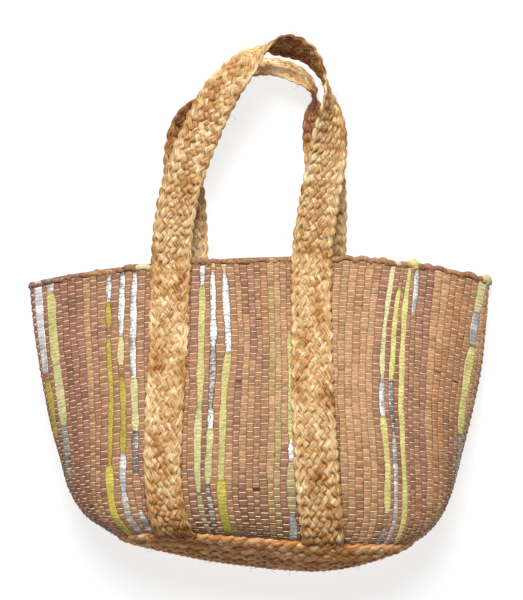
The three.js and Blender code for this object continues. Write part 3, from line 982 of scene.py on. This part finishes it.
class JuteSettings(bpy.types.PropertyGroup):
    """Sizes and colours of the plaited straps and the braided base"""

    strand_count: bpy.props.IntProperty(
        name="Strands", description="Strands in a strap, an odd number", default=11
    )
    pitch: length_property("Plait pitch", "Length in which a strand crosses the strap and comes back", 122)
    strand_width: length_property("Strand width", "Width of a strand in a strap", 6.6)
    strand_thickness: length_property("Strand thickness", "Thickness of a strand in a strap", 3.3)
    braid_pitch: length_property("Braid pitch", "Length of one turn of the braid in the base", 36)
    fibre_density: bpy.props.FloatProperty(
        name="Loose fibres", description="Loose fibres a square metre of strand", default=7000.0
    )
    strap_dark: colour_property("Strap, dark", "Darkest fibres of the straps", "#a5662f")
    strap_straw: colour_property("Strap, straw", "Most fibres of the straps", "#dfad70")
    strap_pale: colour_property("Strap, pale", "Palest fibres of the straps", "#ffe6ba")
    base_dark: colour_property("Base, dark", "Darkest fibres of the base", "#b46c3a")
    base_straw: colour_property("Base, straw", "Most fibres of the base", "#eaa668")
    base_pale: colour_property("Base, pale", "Palest fibres of the base", "#ffd6a0")
    seed: bpy.props.IntProperty(name="Seed", description="Order of strand tones and fibres", default=5)


class StageSettings(bpy.types.PropertyGroup):
    """Light, floor and camera"""

    key_power: bpy.props.FloatProperty(
        name="Key light", description="Power of the large soft light", default=76.0, unit="POWER"
    )
    sky: bpy.props.FloatProperty(
        name="Surround", description="Strength of the even white surround", default=0.13
    )
    floor_colour: colour_property("Floor colour", "How much light the floor gives back", "#909090")
    floor_glow: bpy.props.FloatProperty(
        name="Floor glow", description="Strength of the floor's own even light", default=0.79
    )
    camera_height: bpy.props.FloatProperty(
        name="Camera height", description="Camera height over the floor", default=1.93, unit="LENGTH"
    )


def strips_once(scene):
    """The strips, laid out the first time they are wanted."""
    if "strips" not in MADE:
        MADE["strips"] = Strips(scene.bag_weave, scene.bag_tones)
    return MADE["strips"]


class BAG_OT_strips(bpy.types.Operator):
    """Weaves the rag strips of the wall"""

    bl_idname = "bag.strips"
    bl_label = "Rag strips"

    # Lifts out of the wall in mm: of a strip's edges and its inside, and how far a thread presses that in
    EDGE_LIFT = -0.2
    INSIDE_LIFT = -2.5
    INSIDE_SWELL = 0.9

    # Width of a strip as a share of its room, how much of that a thread takes, and how square its section is
    OVERLAP = 1.07
    PINCH_NARROWS = 0.1
    ROUNDNESS = 3.4

    # Spread of the swells, and the range that they keep to
    UNEVEN = 0.15
    LEAST_GAIN = 0.6
    MOST_GAIN = 1.4

    # How far apart the patterns on two neighbours are read
    PATTERNS_APART = 9.7

    def execute(self, context):
        settings = context.scene.bag_weave
        strips = strips_once(context.scene)
        for name, chosen in strips.halves("rag_strips"):
            self.weave(name, strips, settings, np.nonzero(chosen)[0])
        return {"FINISHED"}

    def weave(self, name, strips, settings, chosen):
        """Makes a piece of the chosen strips, each a closed flat tube from the base to the mouth."""
        swell = strips.swell()
        uneven = strips.rng.normal(0, self.UNEVEN, swell.shape)
        gain = np.clip(1 + uneven, self.LEAST_GAIN, self.MOST_GAIN)
        lean = strips.rng.normal(0, self.UNEVEN, swell.shape)
        low = -settings.pinch / MM
        high = settings.swell / MM
        narrow = self.OVERLAP - self.PINCH_NARROWS * (1 - swell)
        rings = []
        places = []
        for e in STRIP_OUTSIDE + STRIP_INSIDE:
            inside = len(rings) >= len(STRIP_OUTSIDE)
            reach = (strips.right - strips.middles) if e > 0 else (strips.middles - strips.left)
            share = strips.middles + e * reach * narrow
            fullness = 1 - abs(e) ** self.ROUNDNESS
            if inside:
                lift = self.INSIDE_LIFT - self.INSIDE_SWELL * (1 - swell) * fullness
            else:
                crown = (low + (high - low) * swell * gain) * (1 + lean * e)
                lift = self.EDGE_LIFT + (crown - self.EDGE_LIFT) * fullness
            height = np.broadcast_to(strips.heights[None], share.shape)
            rings.append(WALL.at(share[chosen], height[chosen], lift[chosen]))
            along = WALL_DEPTH * height[chosen]
            across = np.full_like(along, STRIP_HALF * e)
            apart = np.broadcast_to(chosen[:, None] * self.PATTERNS_APART, along.shape)
            places.append(np.stack([across, along, apart], axis=-1))
        points = np.stack(rings, axis=2)
        count, levels, sides = points.shape[:3]
        index = np.arange(count * levels * sides).reshape(count, levels, sides)
        here = index[:, :-1]
        up = index[:, 1:]
        quads = np.stack([here, np.roll(here, -1, axis=2), np.roll(up, -1, axis=2), up], axis=-1)
        faces = quads.reshape(-1, 4).tolist()
        foil = np.broadcast_to(strips.foil[chosen][:, :-1, None], quads.shape[:3]).ravel().astype(int)
        ends = [ring[::-1].tolist() for ring in index[:, 0]] + [ring.tolist() for ring in index[:, -1]]
        colours = np.broadcast_to(strips.colours[chosen][:, :, None], (count, levels, sides, 4))
        piece = mesh_object(
            name, points.reshape(-1, 3), faces + ends,
            [made_once(rag_strip_material), made_once(foil_material)],
            {"strip_colour": colours, "strip_place": np.stack(places, axis=2)},
            np.concatenate([foil, np.zeros(len(ends), int)]),
        )
        dress(piece, "woven_wall")


class BAG_OT_threads(bpy.types.Operator):
    """Runs the cotton threads round the wall, over and under the strips"""

    bl_idname = "bag.threads"
    bl_label = "Cotton threads"

    # Lifts in mm: over the strip that a thread pinches, and out of the wall under a strip and between strips
    STANDS_PROUD = 0.45
    UNDER = -3.0
    BETWEEN = -1.3

    # Share of a strip's width that a thread crosses level, and how far it strays, as a share of the height
    SHOULDER = 0.93
    STRAY = 0.0017
    SIDES = 4

    def execute(self, context):
        settings = context.scene.bag_weave
        strips = strips_once(context.scene)
        width = settings.thread_width / MM
        cotton = made_once(cotton_thread_material, settings.thread_colour[:])
        for name, chosen in strips.halves("cotton_threads"):
            strands = self.threads(strips, strips.run_of(chosen), settings)
            piece = sweep(name, strands, False, width, width, self.SIDES, cotton)
            dress(piece, "woven_wall")
        return {"FINISHED"}

    def threads(self, strips, order, settings):
        """Each thread over one strip and under the next, with a flat top where it goes over."""
        top = self.STANDS_PROUD - settings.pinch / MM
        strands = []
        for level in range(1, strips.levels, 2):
            left = strips.left[order, level]
            middle = strips.middles[order, level]
            right = strips.right[order, level]
            shoulder = np.where(strips.pinched[order, level], top, self.UNDER)
            edge = np.full_like(shoulder, self.BETWEEN)
            first = middle - self.SHOULDER * (middle - left)
            second = middle + self.SHOULDER * (right - middle)
            stops = np.stack([first, second, right], axis=1)
            shares = np.unwrap(stops.ravel(), period=1.0)
            lifts = np.stack([shoulder, shoulder, edge], axis=1).ravel()
            stray = np.repeat(strips.rng.normal(0, self.STRAY, len(order)), stops.shape[1])
            height = strips.heights[level] + stray
            strands.append((WALL.at(shares, height, lifts), WALL.out(shares, height), {}))
        return strands


class BAG_OT_selvedge(bpy.types.Operator):
    """Turns the strips over at the mouth, from each one into the next"""

    bl_idname = "bag.selvedge"
    bl_label = "Looped selvedge"

    # Size of a loop in mm, its steps and sides, and how its girth varies
    WIDTH = 6.0
    THICKNESS = 4.2
    STEPS = 9
    SIDES = 8
    GIRTHS = (0.7, 1.15)

    # Shares of the wall's height: where a loop's foot is, how far it rises, with the range of that, and how
    # much lower its second foot is
    FOOT = 0.982
    RISE = 0.015
    RISES = (0.45, 1.2)
    SETTLES = 0.004

    # Lift out of the wall in mm: how far a loop is sunk, the range of its lift, how that swings along it,
    # and how far it is flattened on the back
    SUNK = -1.6
    LIFTS = (1.8, 3.2)
    LIFT_PACE = 0.8
    LIFT_START = 0.3
    FLATTENED = 3.0

    # How many strips further on a loop comes down, and the chances of each
    SPANS = (1, 2)
    SPAN_CHANCES = (0.6, 0.4)

    # Larger loops and how their girth follows, stretches round the mouth where loops lie flat and how slim
    # they are there, and a stretch where every other loop is pale
    LARGE_LOOPS = {"third group third": 2.2, "right fold": 1.8}
    LARGE_GIRTH_POWER = 0.4
    FLAT_STRETCHES = ((-0.26, -0.15), (-0.045, 0.05))
    FLAT_GIRTH = 0.7
    PALE_STRETCH = (-0.145, -0.105)

    # Painted shade and girth at a loop's feet, where it goes into the weave, how far apart the patterns on
    # two loops are read, and their length
    END_SHADE = 0.45
    END_GIRTH = 0.75
    APART = 17.3
    PUCKERED = 12.0

    def execute(self, context):
        strips = strips_once(context.scene)
        tones = context.scene.bag_tones
        turn = np.linspace(0, np.pi, self.STEPS)
        f = (1 - np.cos(turn)) / 2
        arch = np.sqrt(np.clip(np.sin(turn), 0, 1))
        # Painted shade, darker towards a loop's feet.
        shade = self.END_SHADE + (1 - self.END_SHADE) * arch
        slim = self.END_GIRTH + (1 - self.END_GIRTH) * arch
        strands = []
        i = 0
        while i < strips.count:
            large = self.LARGE_LOOPS.get(strips.names[i], 1.0)
            next_large = strips.names[(i + 1) % strips.count] in self.LARGE_LOOPS
            span = 1 if next_large else strips.rng.choice(self.SPANS, p=self.SPAN_CHANCES)
            start = strips.middles[i, -1]
            end = strips.middles[(i + span) % strips.count, -1]
            end += 1 if end < start - 0.5 else 0
            share = start + (end - start) * f
            place = strips.from_front(start)
            flat = self.FLAT_GIRTH if any(low < place < high for low, high in self.FLAT_STRETCHES) else 1.0
            rise = self.RISE * strips.rng.uniform(*self.RISES) * large * flat
            height = self.FOOT + rise * np.sin(turn) - self.SETTLES * f
            lift = strips.rng.uniform(*self.LIFTS) * np.sin(turn * self.LIFT_PACE + self.LIFT_START)
            lift += self.SUNK
            # On the back the loops lie flat between the bag and the floor.
            lift = lift - self.FLATTENED * np.maximum(0, -WALL.out(share, height)[:, 2])
            colour = strips.colours[i, -1]
            if self.PALE_STRETCH[0] < place < self.PALE_STRETCH[1] and len(strands) % 2 == 1:
                colour = tones.cream_lime
            if strips.foil[i, -1]:
                colour = tones.mauve
            apart = np.full(self.STEPS, i * self.APART)
            layers = {
                "strip_colour": np.column_stack([np.outer(shade, colour[:3]), np.ones(self.STEPS)]),
                "strip_place": np.column_stack([np.zeros(self.STEPS), apart + self.PUCKERED * f, apart]),
                "girth": slim * strips.rng.uniform(*self.GIRTHS) * large**self.LARGE_GIRTH_POWER * flat,
            }
            strands.append((WALL.at(share, height, lift), WALL.out(share, height), layers))
            i += span
        piece = sweep(
            "looped_selvedge", strands, False, self.WIDTH, self.THICKNESS, self.SIDES,
            made_once(rag_strip_material),
        )
        dress(piece, "woven_wall")
        return {"FINISHED"}


def read_vectors(at, keys, vectors):
    """Vectors at rising keys, read between them."""
    return np.stack([np.interp(at, keys, vectors[:, axis]) for axis in range(3)], axis=1)


def lengths_along(points):
    """How far along a line of points each one is."""
    return np.concatenate([[0], np.cumsum(np.linalg.norm(np.diff(points, axis=0), axis=1))])


def even_route(middle, across, out, width, step):
    """A strap's route at even steps: length, middle line, directions across and out of it, and width."""
    run = lengths_along(middle)
    at = np.arange(0, run[-1], step)
    read = [read_vectors(at, run, field) for field in (middle, across, out)]
    kernel = np.ones(ROUTE_SMOOTHING) / ROUTE_SMOOTHING
    half = ROUTE_SMOOTHING // 2
    for field in read:
        padded = np.pad(field, ((half, half), (0, 0)), mode="edge")
        for axis in range(3):
            field[half:-half, axis] = np.convolve(padded[:, axis], kernel, mode="valid")[half:-half]
    middle, across, out = read
    along = unit(np.gradient(middle, axis=0))
    across = unit(across - along * np.sum(across * along, axis=1, keepdims=True))
    facing = np.cross(along, across)
    facing *= np.sign(np.sum(facing * out, axis=1, keepdims=True))
    return at, middle, across, unit(facing), np.interp(at, run, width)


def rolled_frames(rows, columns, lift):
    """Middle line and directions of a strap along a table of places and rolls."""
    table = table_of(columns, rows)
    keys = np.arange(len(rows))
    at = np.linspace(0, len(rows) - 1, ROUTE_READINGS * len(rows))
    roll = np.radians(read_column(keys, table["roll"], at))
    x = read_column(keys, table["x"], at)
    y = read_column(keys, table["y"], at)
    z = read_column(keys, table["z"], at) if "z" in table else lift(roll)
    middle = np.stack([x, y, z], axis=1)
    along = unit(np.gradient(middle, axis=0))
    side = unit(np.cross(along, np.array([0.0, 0.0, 1.0])))
    face = unit(np.cross(side, along))
    turn = np.cos(roll)[:, None]
    rise = np.sin(roll)[:, None]
    return middle, side * turn + face * rise, face * turn - side * rise, np.full(len(at), STRAP_WIDTH)


def front_route(step):
    """The front strap's route: up the wall, round the loop and down the wall."""
    legs = table_of(FRONT_LEG_COLUMNS, FRONT_LEG_ROWS)
    height = np.linspace(LEG_START, 1, LEG_READINGS)
    sewn = SEWN_GAP + STRAP_THICKNESS / 2
    # The ends dip under the first row of the base.
    lift = sewn - FOOT_DIP * (1 - smoothstep(height, 0.0, FOOT_DIP_REACH))
    parts = []
    for side, across in (("left", 1), ("right", -1)):
        share = read_column(legs["height"], legs[side], height) / WALL.perimeter(height)
        reach = across * STRAP_WIDTH / 4 / WALL.perimeter(height)
        beside = WALL.at(share + reach, height) - WALL.at(share - reach, height)
        width = read_column(legs["height"], legs[side + "_width"], height)
        parts.append((WALL.at(share, height, lift), unit(beside), WALL.out(share, height), width))
    loop = rolled_frames(FRONT_LOOP_ROWS, FRONT_LOOP_COLUMNS, None)
    left, right = parts
    joined = [np.concatenate([left[k], loop[k], right[k][::-1]]) for k in range(4)]
    return even_route(*joined, step)


def back_route(step):
    """The back strap's route along the floor, standing on its lower edge where it is rolled."""

    def on_floor(roll):
        return STRAP_WIDTH / 2 * np.abs(np.sin(roll)) + STRAP_THICKNESS / 2 * np.cos(roll) ** 2

    return even_route(*rolled_frames(BACK_ROUTE_ROWS, BACK_ROUTE_COLUMNS, on_floor), step)


class BAG_OT_straps(bpy.types.Operator):
    """Plaits the front and back straps"""

    bl_idname = "bag.straps"
    bl_label = "Plaited straps"

    # Step along a strap in mm, and a strand's sides
    STEP = 1.3
    SIDES = 6

    # How deep strands dive, as a share of the room in the strap, and how sharply they turn at its edges
    DIVE = 0.82
    ROUNDING = 0.985
    TURN_SHARPNESS = 4.0

    # How uneven a strand's girth is, over what length in mm, and how far strands are pushed along the strap
    UNEVEN = 0.11
    UNEVEN_LENGTH = 45.0
    STRAY = 0.8

    # Tone: its spread from cell to cell, the share of odd cells and how much darker they are, how it varies
    # along a strand and over what length in mm, its spread from strand to strand, and how depth changes it,
    # as painted shade where a strand dives under another
    CELL_SPREAD = 0.08
    ODD_CELLS = 0.05
    ODD_SHADE = 0.4
    TONE_WAVE = 0.13
    TONE_LENGTH = 120.0
    STRAND_SPREAD = 0.07
    DIVE_SHADE = 0.07

    # How much browner a strap is at its sewn ends, partly the jute's own colour and partly painted shade
    # where it curves down to the base, how far up in mm, and how much browner its stains are
    END_SHADE = 0.54
    END_REACH = 66.0
    STAIN = 0.4

    # Ripples that run askew over a strap: a radian's length in mm along it and across it, and where they
    # start. Those that push the strands along have a height first.
    PUSHES = ((1.0, (9.7, 5.9, 0.0)), (0.7, (3.7, -3.1, 2.0)), (0.8, (17.0, 2.2, 4.0)))
    STAINS = ((23, 7, 1.0), (41, -11, 2.5))

    # Each strap has its own tone, the back strap's paler as painted light against the shade the front strap
    # casts on it. Where a strap turns on its side it gets painted shade, darker and redder: how far its face
    # points up there, from and to, and how much darker it is. The edge is how softly that comes and goes.
    TURNED_SHADE_EDGE = 0.26
    STRAPS = (
        ("plait_front", "strap_front", front_route, 0.73, (-1.5, 0.0, 0.4)),
        ("plait_back", "strap_back", back_route, 0.9, (-0.2, 0.8, 0.98)),
    )

    def execute(self, context):
        settings = context.scene.bag_jute
        rng = np.random.default_rng(settings.seed)
        jute = strap_jute(settings)
        for name, node, route, tone, turned in self.STRAPS:
            piece = self.plait(name, route(self.STEP), tone, turned, settings, rng)
            dress(piece, node)
            loose_fibres(piece, node, settings.fibre_density, settings.seed, jute)
        return {"FINISHED"}

    @staticmethod
    def ripple(at, side, along, across, start):
        """A ripple over a strap, read along a strand."""
        return np.sin(at / along + side / across + start)

    def browning_and_painted_shade(self, at, faces_up, turned):
        """How much darker a strap is along its length: browner and in painted shade at its sewn ends, and in
        painted shade where it turns on its side.
        """
        low, high, amount = turned
        ends = self.END_SHADE * (1 - smoothstep(np.minimum(at, at[-1] - at), 0, self.END_REACH))
        rising = smoothstep(faces_up, low - self.TURNED_SHADE_EDGE, low + self.TURNED_SHADE_EDGE)
        falling = smoothstep(faces_up, high - self.TURNED_SHADE_EDGE, high + self.TURNED_SHADE_EDGE)
        return ends + amount * rising * (1 - falling)

    def plait(self, name, route, usual_tone, turned, settings, rng):
        """Makes one strap's strands, which zigzag across it."""
        at, middle, across, out, strap_width = route
        strands = settings.strand_count
        pitch = settings.pitch / MM
        width = settings.strand_width / MM
        thickness = settings.strand_thickness / MM
        reach = (strap_width - width) / 2
        depth = self.DIVE * (STRAP_THICKNESS - thickness) / 2
        # Browning and painted shade along the strap's length
        dark = self.browning_and_painted_shade(at, out[:, 2], turned)
        made = []
        for k in range(strands):
            phase = at / pitch + k / strands
            swing = np.arcsin(np.sin(2 * np.pi * (phase - 0.25)) * self.ROUNDING) / math.asin(self.ROUNDING)
            heading = np.clip(np.sin(2 * np.pi * phase) * self.TURN_SHARPNESS, -1, 1)
            # A strand goes over one and under one of those that cross it, so the plait lies in scales.
            column = (swing + 1) / 2 * strands
            lift = depth * np.cos(np.pi * column) * heading
            side = reach * swing
            push = sum(height * self.ripple(at, side, *ripple) for height, ripple in self.PUSHES)
            spot = np.clip(at + self.STRAY * push, 0, at[-1])
            here, beside, facing = (read_vectors(spot, at, field) for field in (middle, across, out))
            line = here + beside * side[:, None] + facing * lift[:, None]
            # A cell is what shows of a strand where it goes over another.
            cell = np.floor(column + 0.5).astype(int) + (strands + 1) * np.floor(2 * phase).astype(int)
            cells = rng.normal(0, self.CELL_SPREAD, cell.max() + 1)
            cells -= self.ODD_SHADE * (rng.random(len(cells)) < self.ODD_CELLS)
            tone = usual_tone + self.TONE_WAVE * wave(rng, len(at), at[-1], self.TONE_LENGTH, 1)[0]
            tone += rng.normal(0, self.STRAND_SPREAD)
            first_stain, second_stain = (self.ripple(at, side, *ripple) for ripple in self.STAINS)
            stain = self.STAIN * np.clip(first_stain * second_stain, 0, 1)
            # Painted shade where a strand dives under another and from the ends and turns; cells and stains
            # are the jute's own colour.
            tone += cells[cell] + self.DIVE_SHADE * lift / depth - dark - stain
            girth = 1 + self.UNEVEN * wave(rng, len(at), at[-1], self.UNEVEN_LENGTH, 1)[0]
            made.append((line, facing, {"strand_tone": np.clip(tone, TONE_FLOOR, 1), "girth": girth}))
        return sweep(name, made, False, width, thickness, self.SIDES, strap_jute(settings))


class BAG_OT_base(bpy.types.Operator):
    """Coils the braid of the base"""

    bl_idname = "bag.base"
    bl_label = "Braided base"

    # Samples round the base, and steps down the lap on the wall, over the lip and in on the dish
    SAMPLES = 480
    LAP_STEPS = 10
    DROP_STEPS = 5
    DISH_STEPS = 56

    # The lap's height on the wall and lift off it in mm, and over how many steps its corners are rounded
    LAP_HEIGHT = 0.034
    LAP_LIFT = 3.0
    ROUNDING = 13

    # How far round the lip tucks in at both ends, how far in mm, and how many times as far the lap does
    ENDS_REACH = 0.1
    ENDS_TUCK = 3.5
    LAP_TUCK = 1.5

    # In mm: how far short of the ends the coil's first line stops, the gap along it, and the dish's bulge
    COIL_END = 48.0
    COIL_CORE = 0.2
    VISIBLE_BULGE = 20.5

    # Rows of braid, and the strands in each: steps, sides and sizes, how deep they dive, how far they reach
    # over the row's edges, and how far they are sunk, in mm
    ROWS = 5
    STRANDS = 3
    STEP = 2.0
    SIDES = 8
    STRAND_WIDTH = 7.8
    STRAND_THICKNESS = 5.0
    STRAND_DIVE = 1.4
    OVERREACH = 1.0
    SUNK = 1.6

    # Tones of the row on the wall and of the rest, how they vary and over what length of a row in mm, and
    # loose fibres as a share of the straps'
    LAP_TONE = 0.55
    DISH_TONE = 0.6
    TONE_WAVE = 0.25
    TONE_LENGTH = 120.0
    ROW_LENGTH = 700.0
    FIBRE_SHARE = 0.3

    def execute(self, context):
        settings = context.scene.bag_jute
        rng = np.random.default_rng(settings.seed + 1)
        share = np.arange(self.SAMPLES) / self.SAMPLES
        out = WALL.out(share, 0.0)
        down = unit(-WALL.read(WALL.rise, share, np.zeros_like(share)))
        # At both ends the lip tucks in under the wall.
        from_end = np.abs(np.abs(Strips.from_front(share)) - 0.25)
        tucked = (1 - smoothstep(from_end, 0, self.ENDS_REACH))[:, None]
        rim = WALL.at(share, 0.0) + down * BASE_LIP_DROP + out * (BASE_LIP - self.ENDS_TUCK * tucked)
        centre = np.array([BASE_CENTRE_X, rim[:, 1].mean(), BASE_CENTRE_Z])
        pitch = settings.braid_pitch / MM
        # The surface under the braid: down the wall's foot, over the lip and in on the dish, 1 mm at a time.
        lap = self.LAP_LIFT - self.LAP_TUCK * self.ENDS_TUCK * tucked[:, 0]
        foot = WALL.at(share, 0.0, lap)
        rings = [
            WALL.at(share, height * (1 - tucked[:, 0]), lap)
            for height in np.linspace(self.LAP_HEIGHT, 0, self.LAP_STEPS)
        ]
        rings += [foot + (rim - foot) * f for f in np.linspace(0, 1, self.DROP_STEPS + 2)[1:-1]]
        rings += self.dish(rim, centre)
        surface = self.rounded(np.stack(rings))
        slope = unit(np.gradient(surface, axis=0))
        around = unit(np.roll(surface, -1, axis=1) - np.roll(surface, 1, axis=1))
        normal = unit(np.cross(slope, around))
        normal *= np.sign(np.sum(normal * (out - np.array([0.0, 1.0, 0.0])), axis=2, keepdims=True))
        strands = []
        steps = np.linalg.norm(np.diff(surface, axis=0), axis=2)
        depths = np.concatenate([np.zeros((1, self.SAMPLES)), np.cumsum(steps, axis=0)])
        widths = depths[-1] / self.ROWS
        numbers = np.arange(len(depths))
        for row in range(self.ROWS):
            middle = (row + 0.5) * widths
            at = np.array([np.interp(middle[k], depths[:, k], numbers) for k in range(self.SAMPLES)])
            usual_tone = self.DISH_TONE if row else self.LAP_TONE
            line, inward, facing = (self.across(field, at) for field in (surface, slope, normal))
            for strand, faces_out, girth in self.braid(line, inward, facing, widths, pitch):
                tone = self.TONE_WAVE * wave(rng, len(strand), self.ROW_LENGTH, self.TONE_LENGTH, 1)[0]
                layers = {"strand_tone": np.clip(tone + usual_tone, 0, 1), "girth": girth}
                strands.append((strand, faces_out, layers))
        jute = base_jute(settings)
        piece = sweep(
            "base_braid", strands, True, self.STRAND_WIDTH, self.STRAND_THICKNESS, self.SIDES, jute
        )
        dress(piece, "braided_base")
        density = self.FIBRE_SHARE * settings.fibre_density
        loose_fibres(piece, "braided_base", density, settings.seed, jute)
        return {"FINISHED"}

    @staticmethod
    def across(field, at):
        """A grid of vectors read part way between its rings, at one place a column."""
        low = np.minimum(at.astype(int), len(field) - 2)
        column = np.arange(field.shape[1])
        f = (at - low)[:, None]
        return field[low, column] * (1 - f) + field[low + 1, column] * f

    def rounded(self, surface):
        """The same surface with its corners rounded off."""
        half = self.ROUNDING // 2
        padded = np.concatenate([surface[:1]] * half + [surface] + [surface[-1:]] * half)
        return sum(padded[k : k + len(surface)] for k in range(self.ROUNDING)) / self.ROUNDING

    def dish(self, rim, centre):
        """Rings on the dish, each 1 mm inside the last, from the lip to the line where the coil starts."""
        edge = rim[:, [0, 2]]
        low = edge.min(axis=0)
        high = edge.max(axis=0)
        start_x = np.clip(edge[:, 0], low[0] + self.COIL_END, high[0] - self.COIL_END)
        start = np.stack([start_x, np.full(len(edge), (low[1] + high[1]) / 2)], axis=1)
        room = np.linalg.norm(edge - start, axis=1)
        spokes = rim - centre
        turns = np.arctan2(spokes[:, 2], spokes[:, 0])
        spans = np.linalg.norm(spokes[:, [0, 2]], axis=1)
        rings = []
        for inset in range(self.DISH_STEPS):
            kept = np.maximum(room - inset, self.COIL_CORE) / room
            flat = start + (edge - start) * kept[:, None]
            away = flat - centre[[0, 2]]
            turn = np.arctan2(away[:, 1], away[:, 0])
            at = np.linalg.norm(away, axis=1) / np.interp(turn, turns, spans, period=2 * np.pi)
            lean = np.interp(turn, turns, spokes[:, 1], period=2 * np.pi)
            y = centre[1] + lean * at - self.VISIBLE_BULGE * (1 - at**2)
            rings.append(np.stack([flat[:, 0], y, flat[:, 1]], axis=1))
        return rings

    def braid(self, line, inward, facing, widths, pitch):
        """The strands of one closed row of braid, each with its outward directions and its girth."""
        closed = [np.concatenate([field, field[:1]]) for field in (line, inward, facing)]
        run = lengths_along(closed[0])
        count = int(run[-1] / self.STEP)
        at = np.linspace(0, run[-1], count, endpoint=False)
        middle, across, out = (read_vectors(at, run, field) for field in closed)
        across = unit(across)
        out = unit(out)
        turns = max(round(run[-1] / pitch), 1)
        girth = np.interp(at, run, np.append(widths, widths[0])) / widths.min()
        reach = girth * ((widths.min() - self.STRAND_WIDTH) / 2 + self.OVERREACH)
        for k in range(self.STRANDS):
            phase = 2 * np.pi * (turns * at / run[-1] + k / self.STRANDS)
            side = reach * np.sin(phase)
            lift = self.STRAND_DIVE * np.sin(2 * phase) - self.SUNK
            yield middle + across * side[:, None] + out * lift[:, None], out, girth


class BAG_OT_stage(bpy.types.Operator):
    """Sets the floor, the light and the camera"""

    bl_idname = "bag.stage"
    bl_label = "Stage"

    # In metres: half the floor, what the picture takes in up and down and how high over the floor that is
    # measured, where its middle is, and the light's place and size
    FLOOR_HALF = 3.0
    PICTURE_HEIGHT = 0.6
    PICTURE_LEVEL = 0.03
    PICTURE_MIDDLE = (0.002, 0.0045)
    KEY_PLACE = (-0.15, 1.45, 2.05)
    KEY_SIZE = 1.1

    # Camera sensor in millimetres
    SENSOR = 36.0

    def execute(self, context):
        settings = context.scene.bag_stage
        scene = context.scene
        scene.view_settings.view_transform = "Standard"
        half = self.FLOOR_HALF / MM
        corners = [(-half, -half, 0), (half, -half, 0), (half, half, 0), (-half, half, 0)]
        paper = made_once(floor_material, settings.floor_colour[:], settings.floor_glow)
        floor = mesh_object("floor", corners, [(0, 1, 2, 3)], [paper])
        world = bpy.data.worlds.new("white surround")
        world.use_nodes = True
        sky = world.node_tree.nodes["Background"]
        set_inputs(sky, {"Color": linear("#ffffff"), "Strength": settings.sky})
        scene.world = world
        lamp = bpy.data.lights.new("soft key", "AREA")
        lamp.energy = settings.key_power
        lamp.size = self.KEY_SIZE
        key = bpy.data.objects.new("soft key", lamp)
        key.location = self.KEY_PLACE
        aim = -key.location
        key.rotation_euler = aim.to_track_quat("-Z", "Y").to_euler()
        context.collection.objects.link(key)
        lens = bpy.data.cameras.new("camera")
        lens.sensor_width = self.SENSOR
        lens.lens = self.SENSOR * (settings.camera_height - self.PICTURE_LEVEL) / self.PICTURE_HEIGHT
        camera = bpy.data.objects.new("camera", lens)
        camera.location = (*self.PICTURE_MIDDLE, settings.camera_height)
        context.collection.objects.link(camera)
        scene.camera = camera
        return {"FINISHED"}


class BAG_PT_panel(bpy.types.Panel):
    """Lists the settings, with the pieces that each makes"""

    bl_idname = "BAG_PT_panel"
    bl_label = "Beach bag"
    bl_space_type = "VIEW_3D"
    bl_region_type = "UI"
    bl_category = "Beach bag"

    def draw(self, context):
        for group, operators in (
            (context.scene.bag_tones, ()),
            (context.scene.bag_weave, (BAG_OT_strips, BAG_OT_threads, BAG_OT_selvedge)),
            (context.scene.bag_jute, (BAG_OT_straps, BAG_OT_base)),
            (context.scene.bag_stage, (BAG_OT_stage,)),
        ):
            box = self.layout.box()
            for name in group.__annotations__:
                box.prop(group, name)
            for operator in operators:
                box.operator(operator.bl_idname)


GROUPS = (
    ("bag_tones", ToneSettings), ("bag_weave", WeaveSettings),
    ("bag_jute", JuteSettings), ("bag_stage", StageSettings),
)
OPERATORS = (BAG_OT_strips, BAG_OT_threads, BAG_OT_selvedge, BAG_OT_straps, BAG_OT_base, BAG_OT_stage)


def register():
    for name, group in GROUPS:
        bpy.utils.register_class(group)
        setattr(bpy.types.Scene, name, bpy.props.PointerProperty(type=group))
    for operator in (*OPERATORS, BAG_PT_panel):
        bpy.utils.register_class(operator)


def unregister():
    for operator in (*OPERATORS, BAG_PT_panel):
        bpy.utils.unregister_class(operator)
    for name, group in GROUPS:
        delattr(bpy.types.Scene, name)
        bpy.utils.unregister_class(group)


def main():
    register()
    bpy.ops.bag.strips()
    bpy.ops.bag.threads()
    bpy.ops.bag.selvedge()
    bpy.ops.bag.straps()
    bpy.ops.bag.base()
    bpy.ops.bag.stage()


if __name__ == "__main__":
    main()
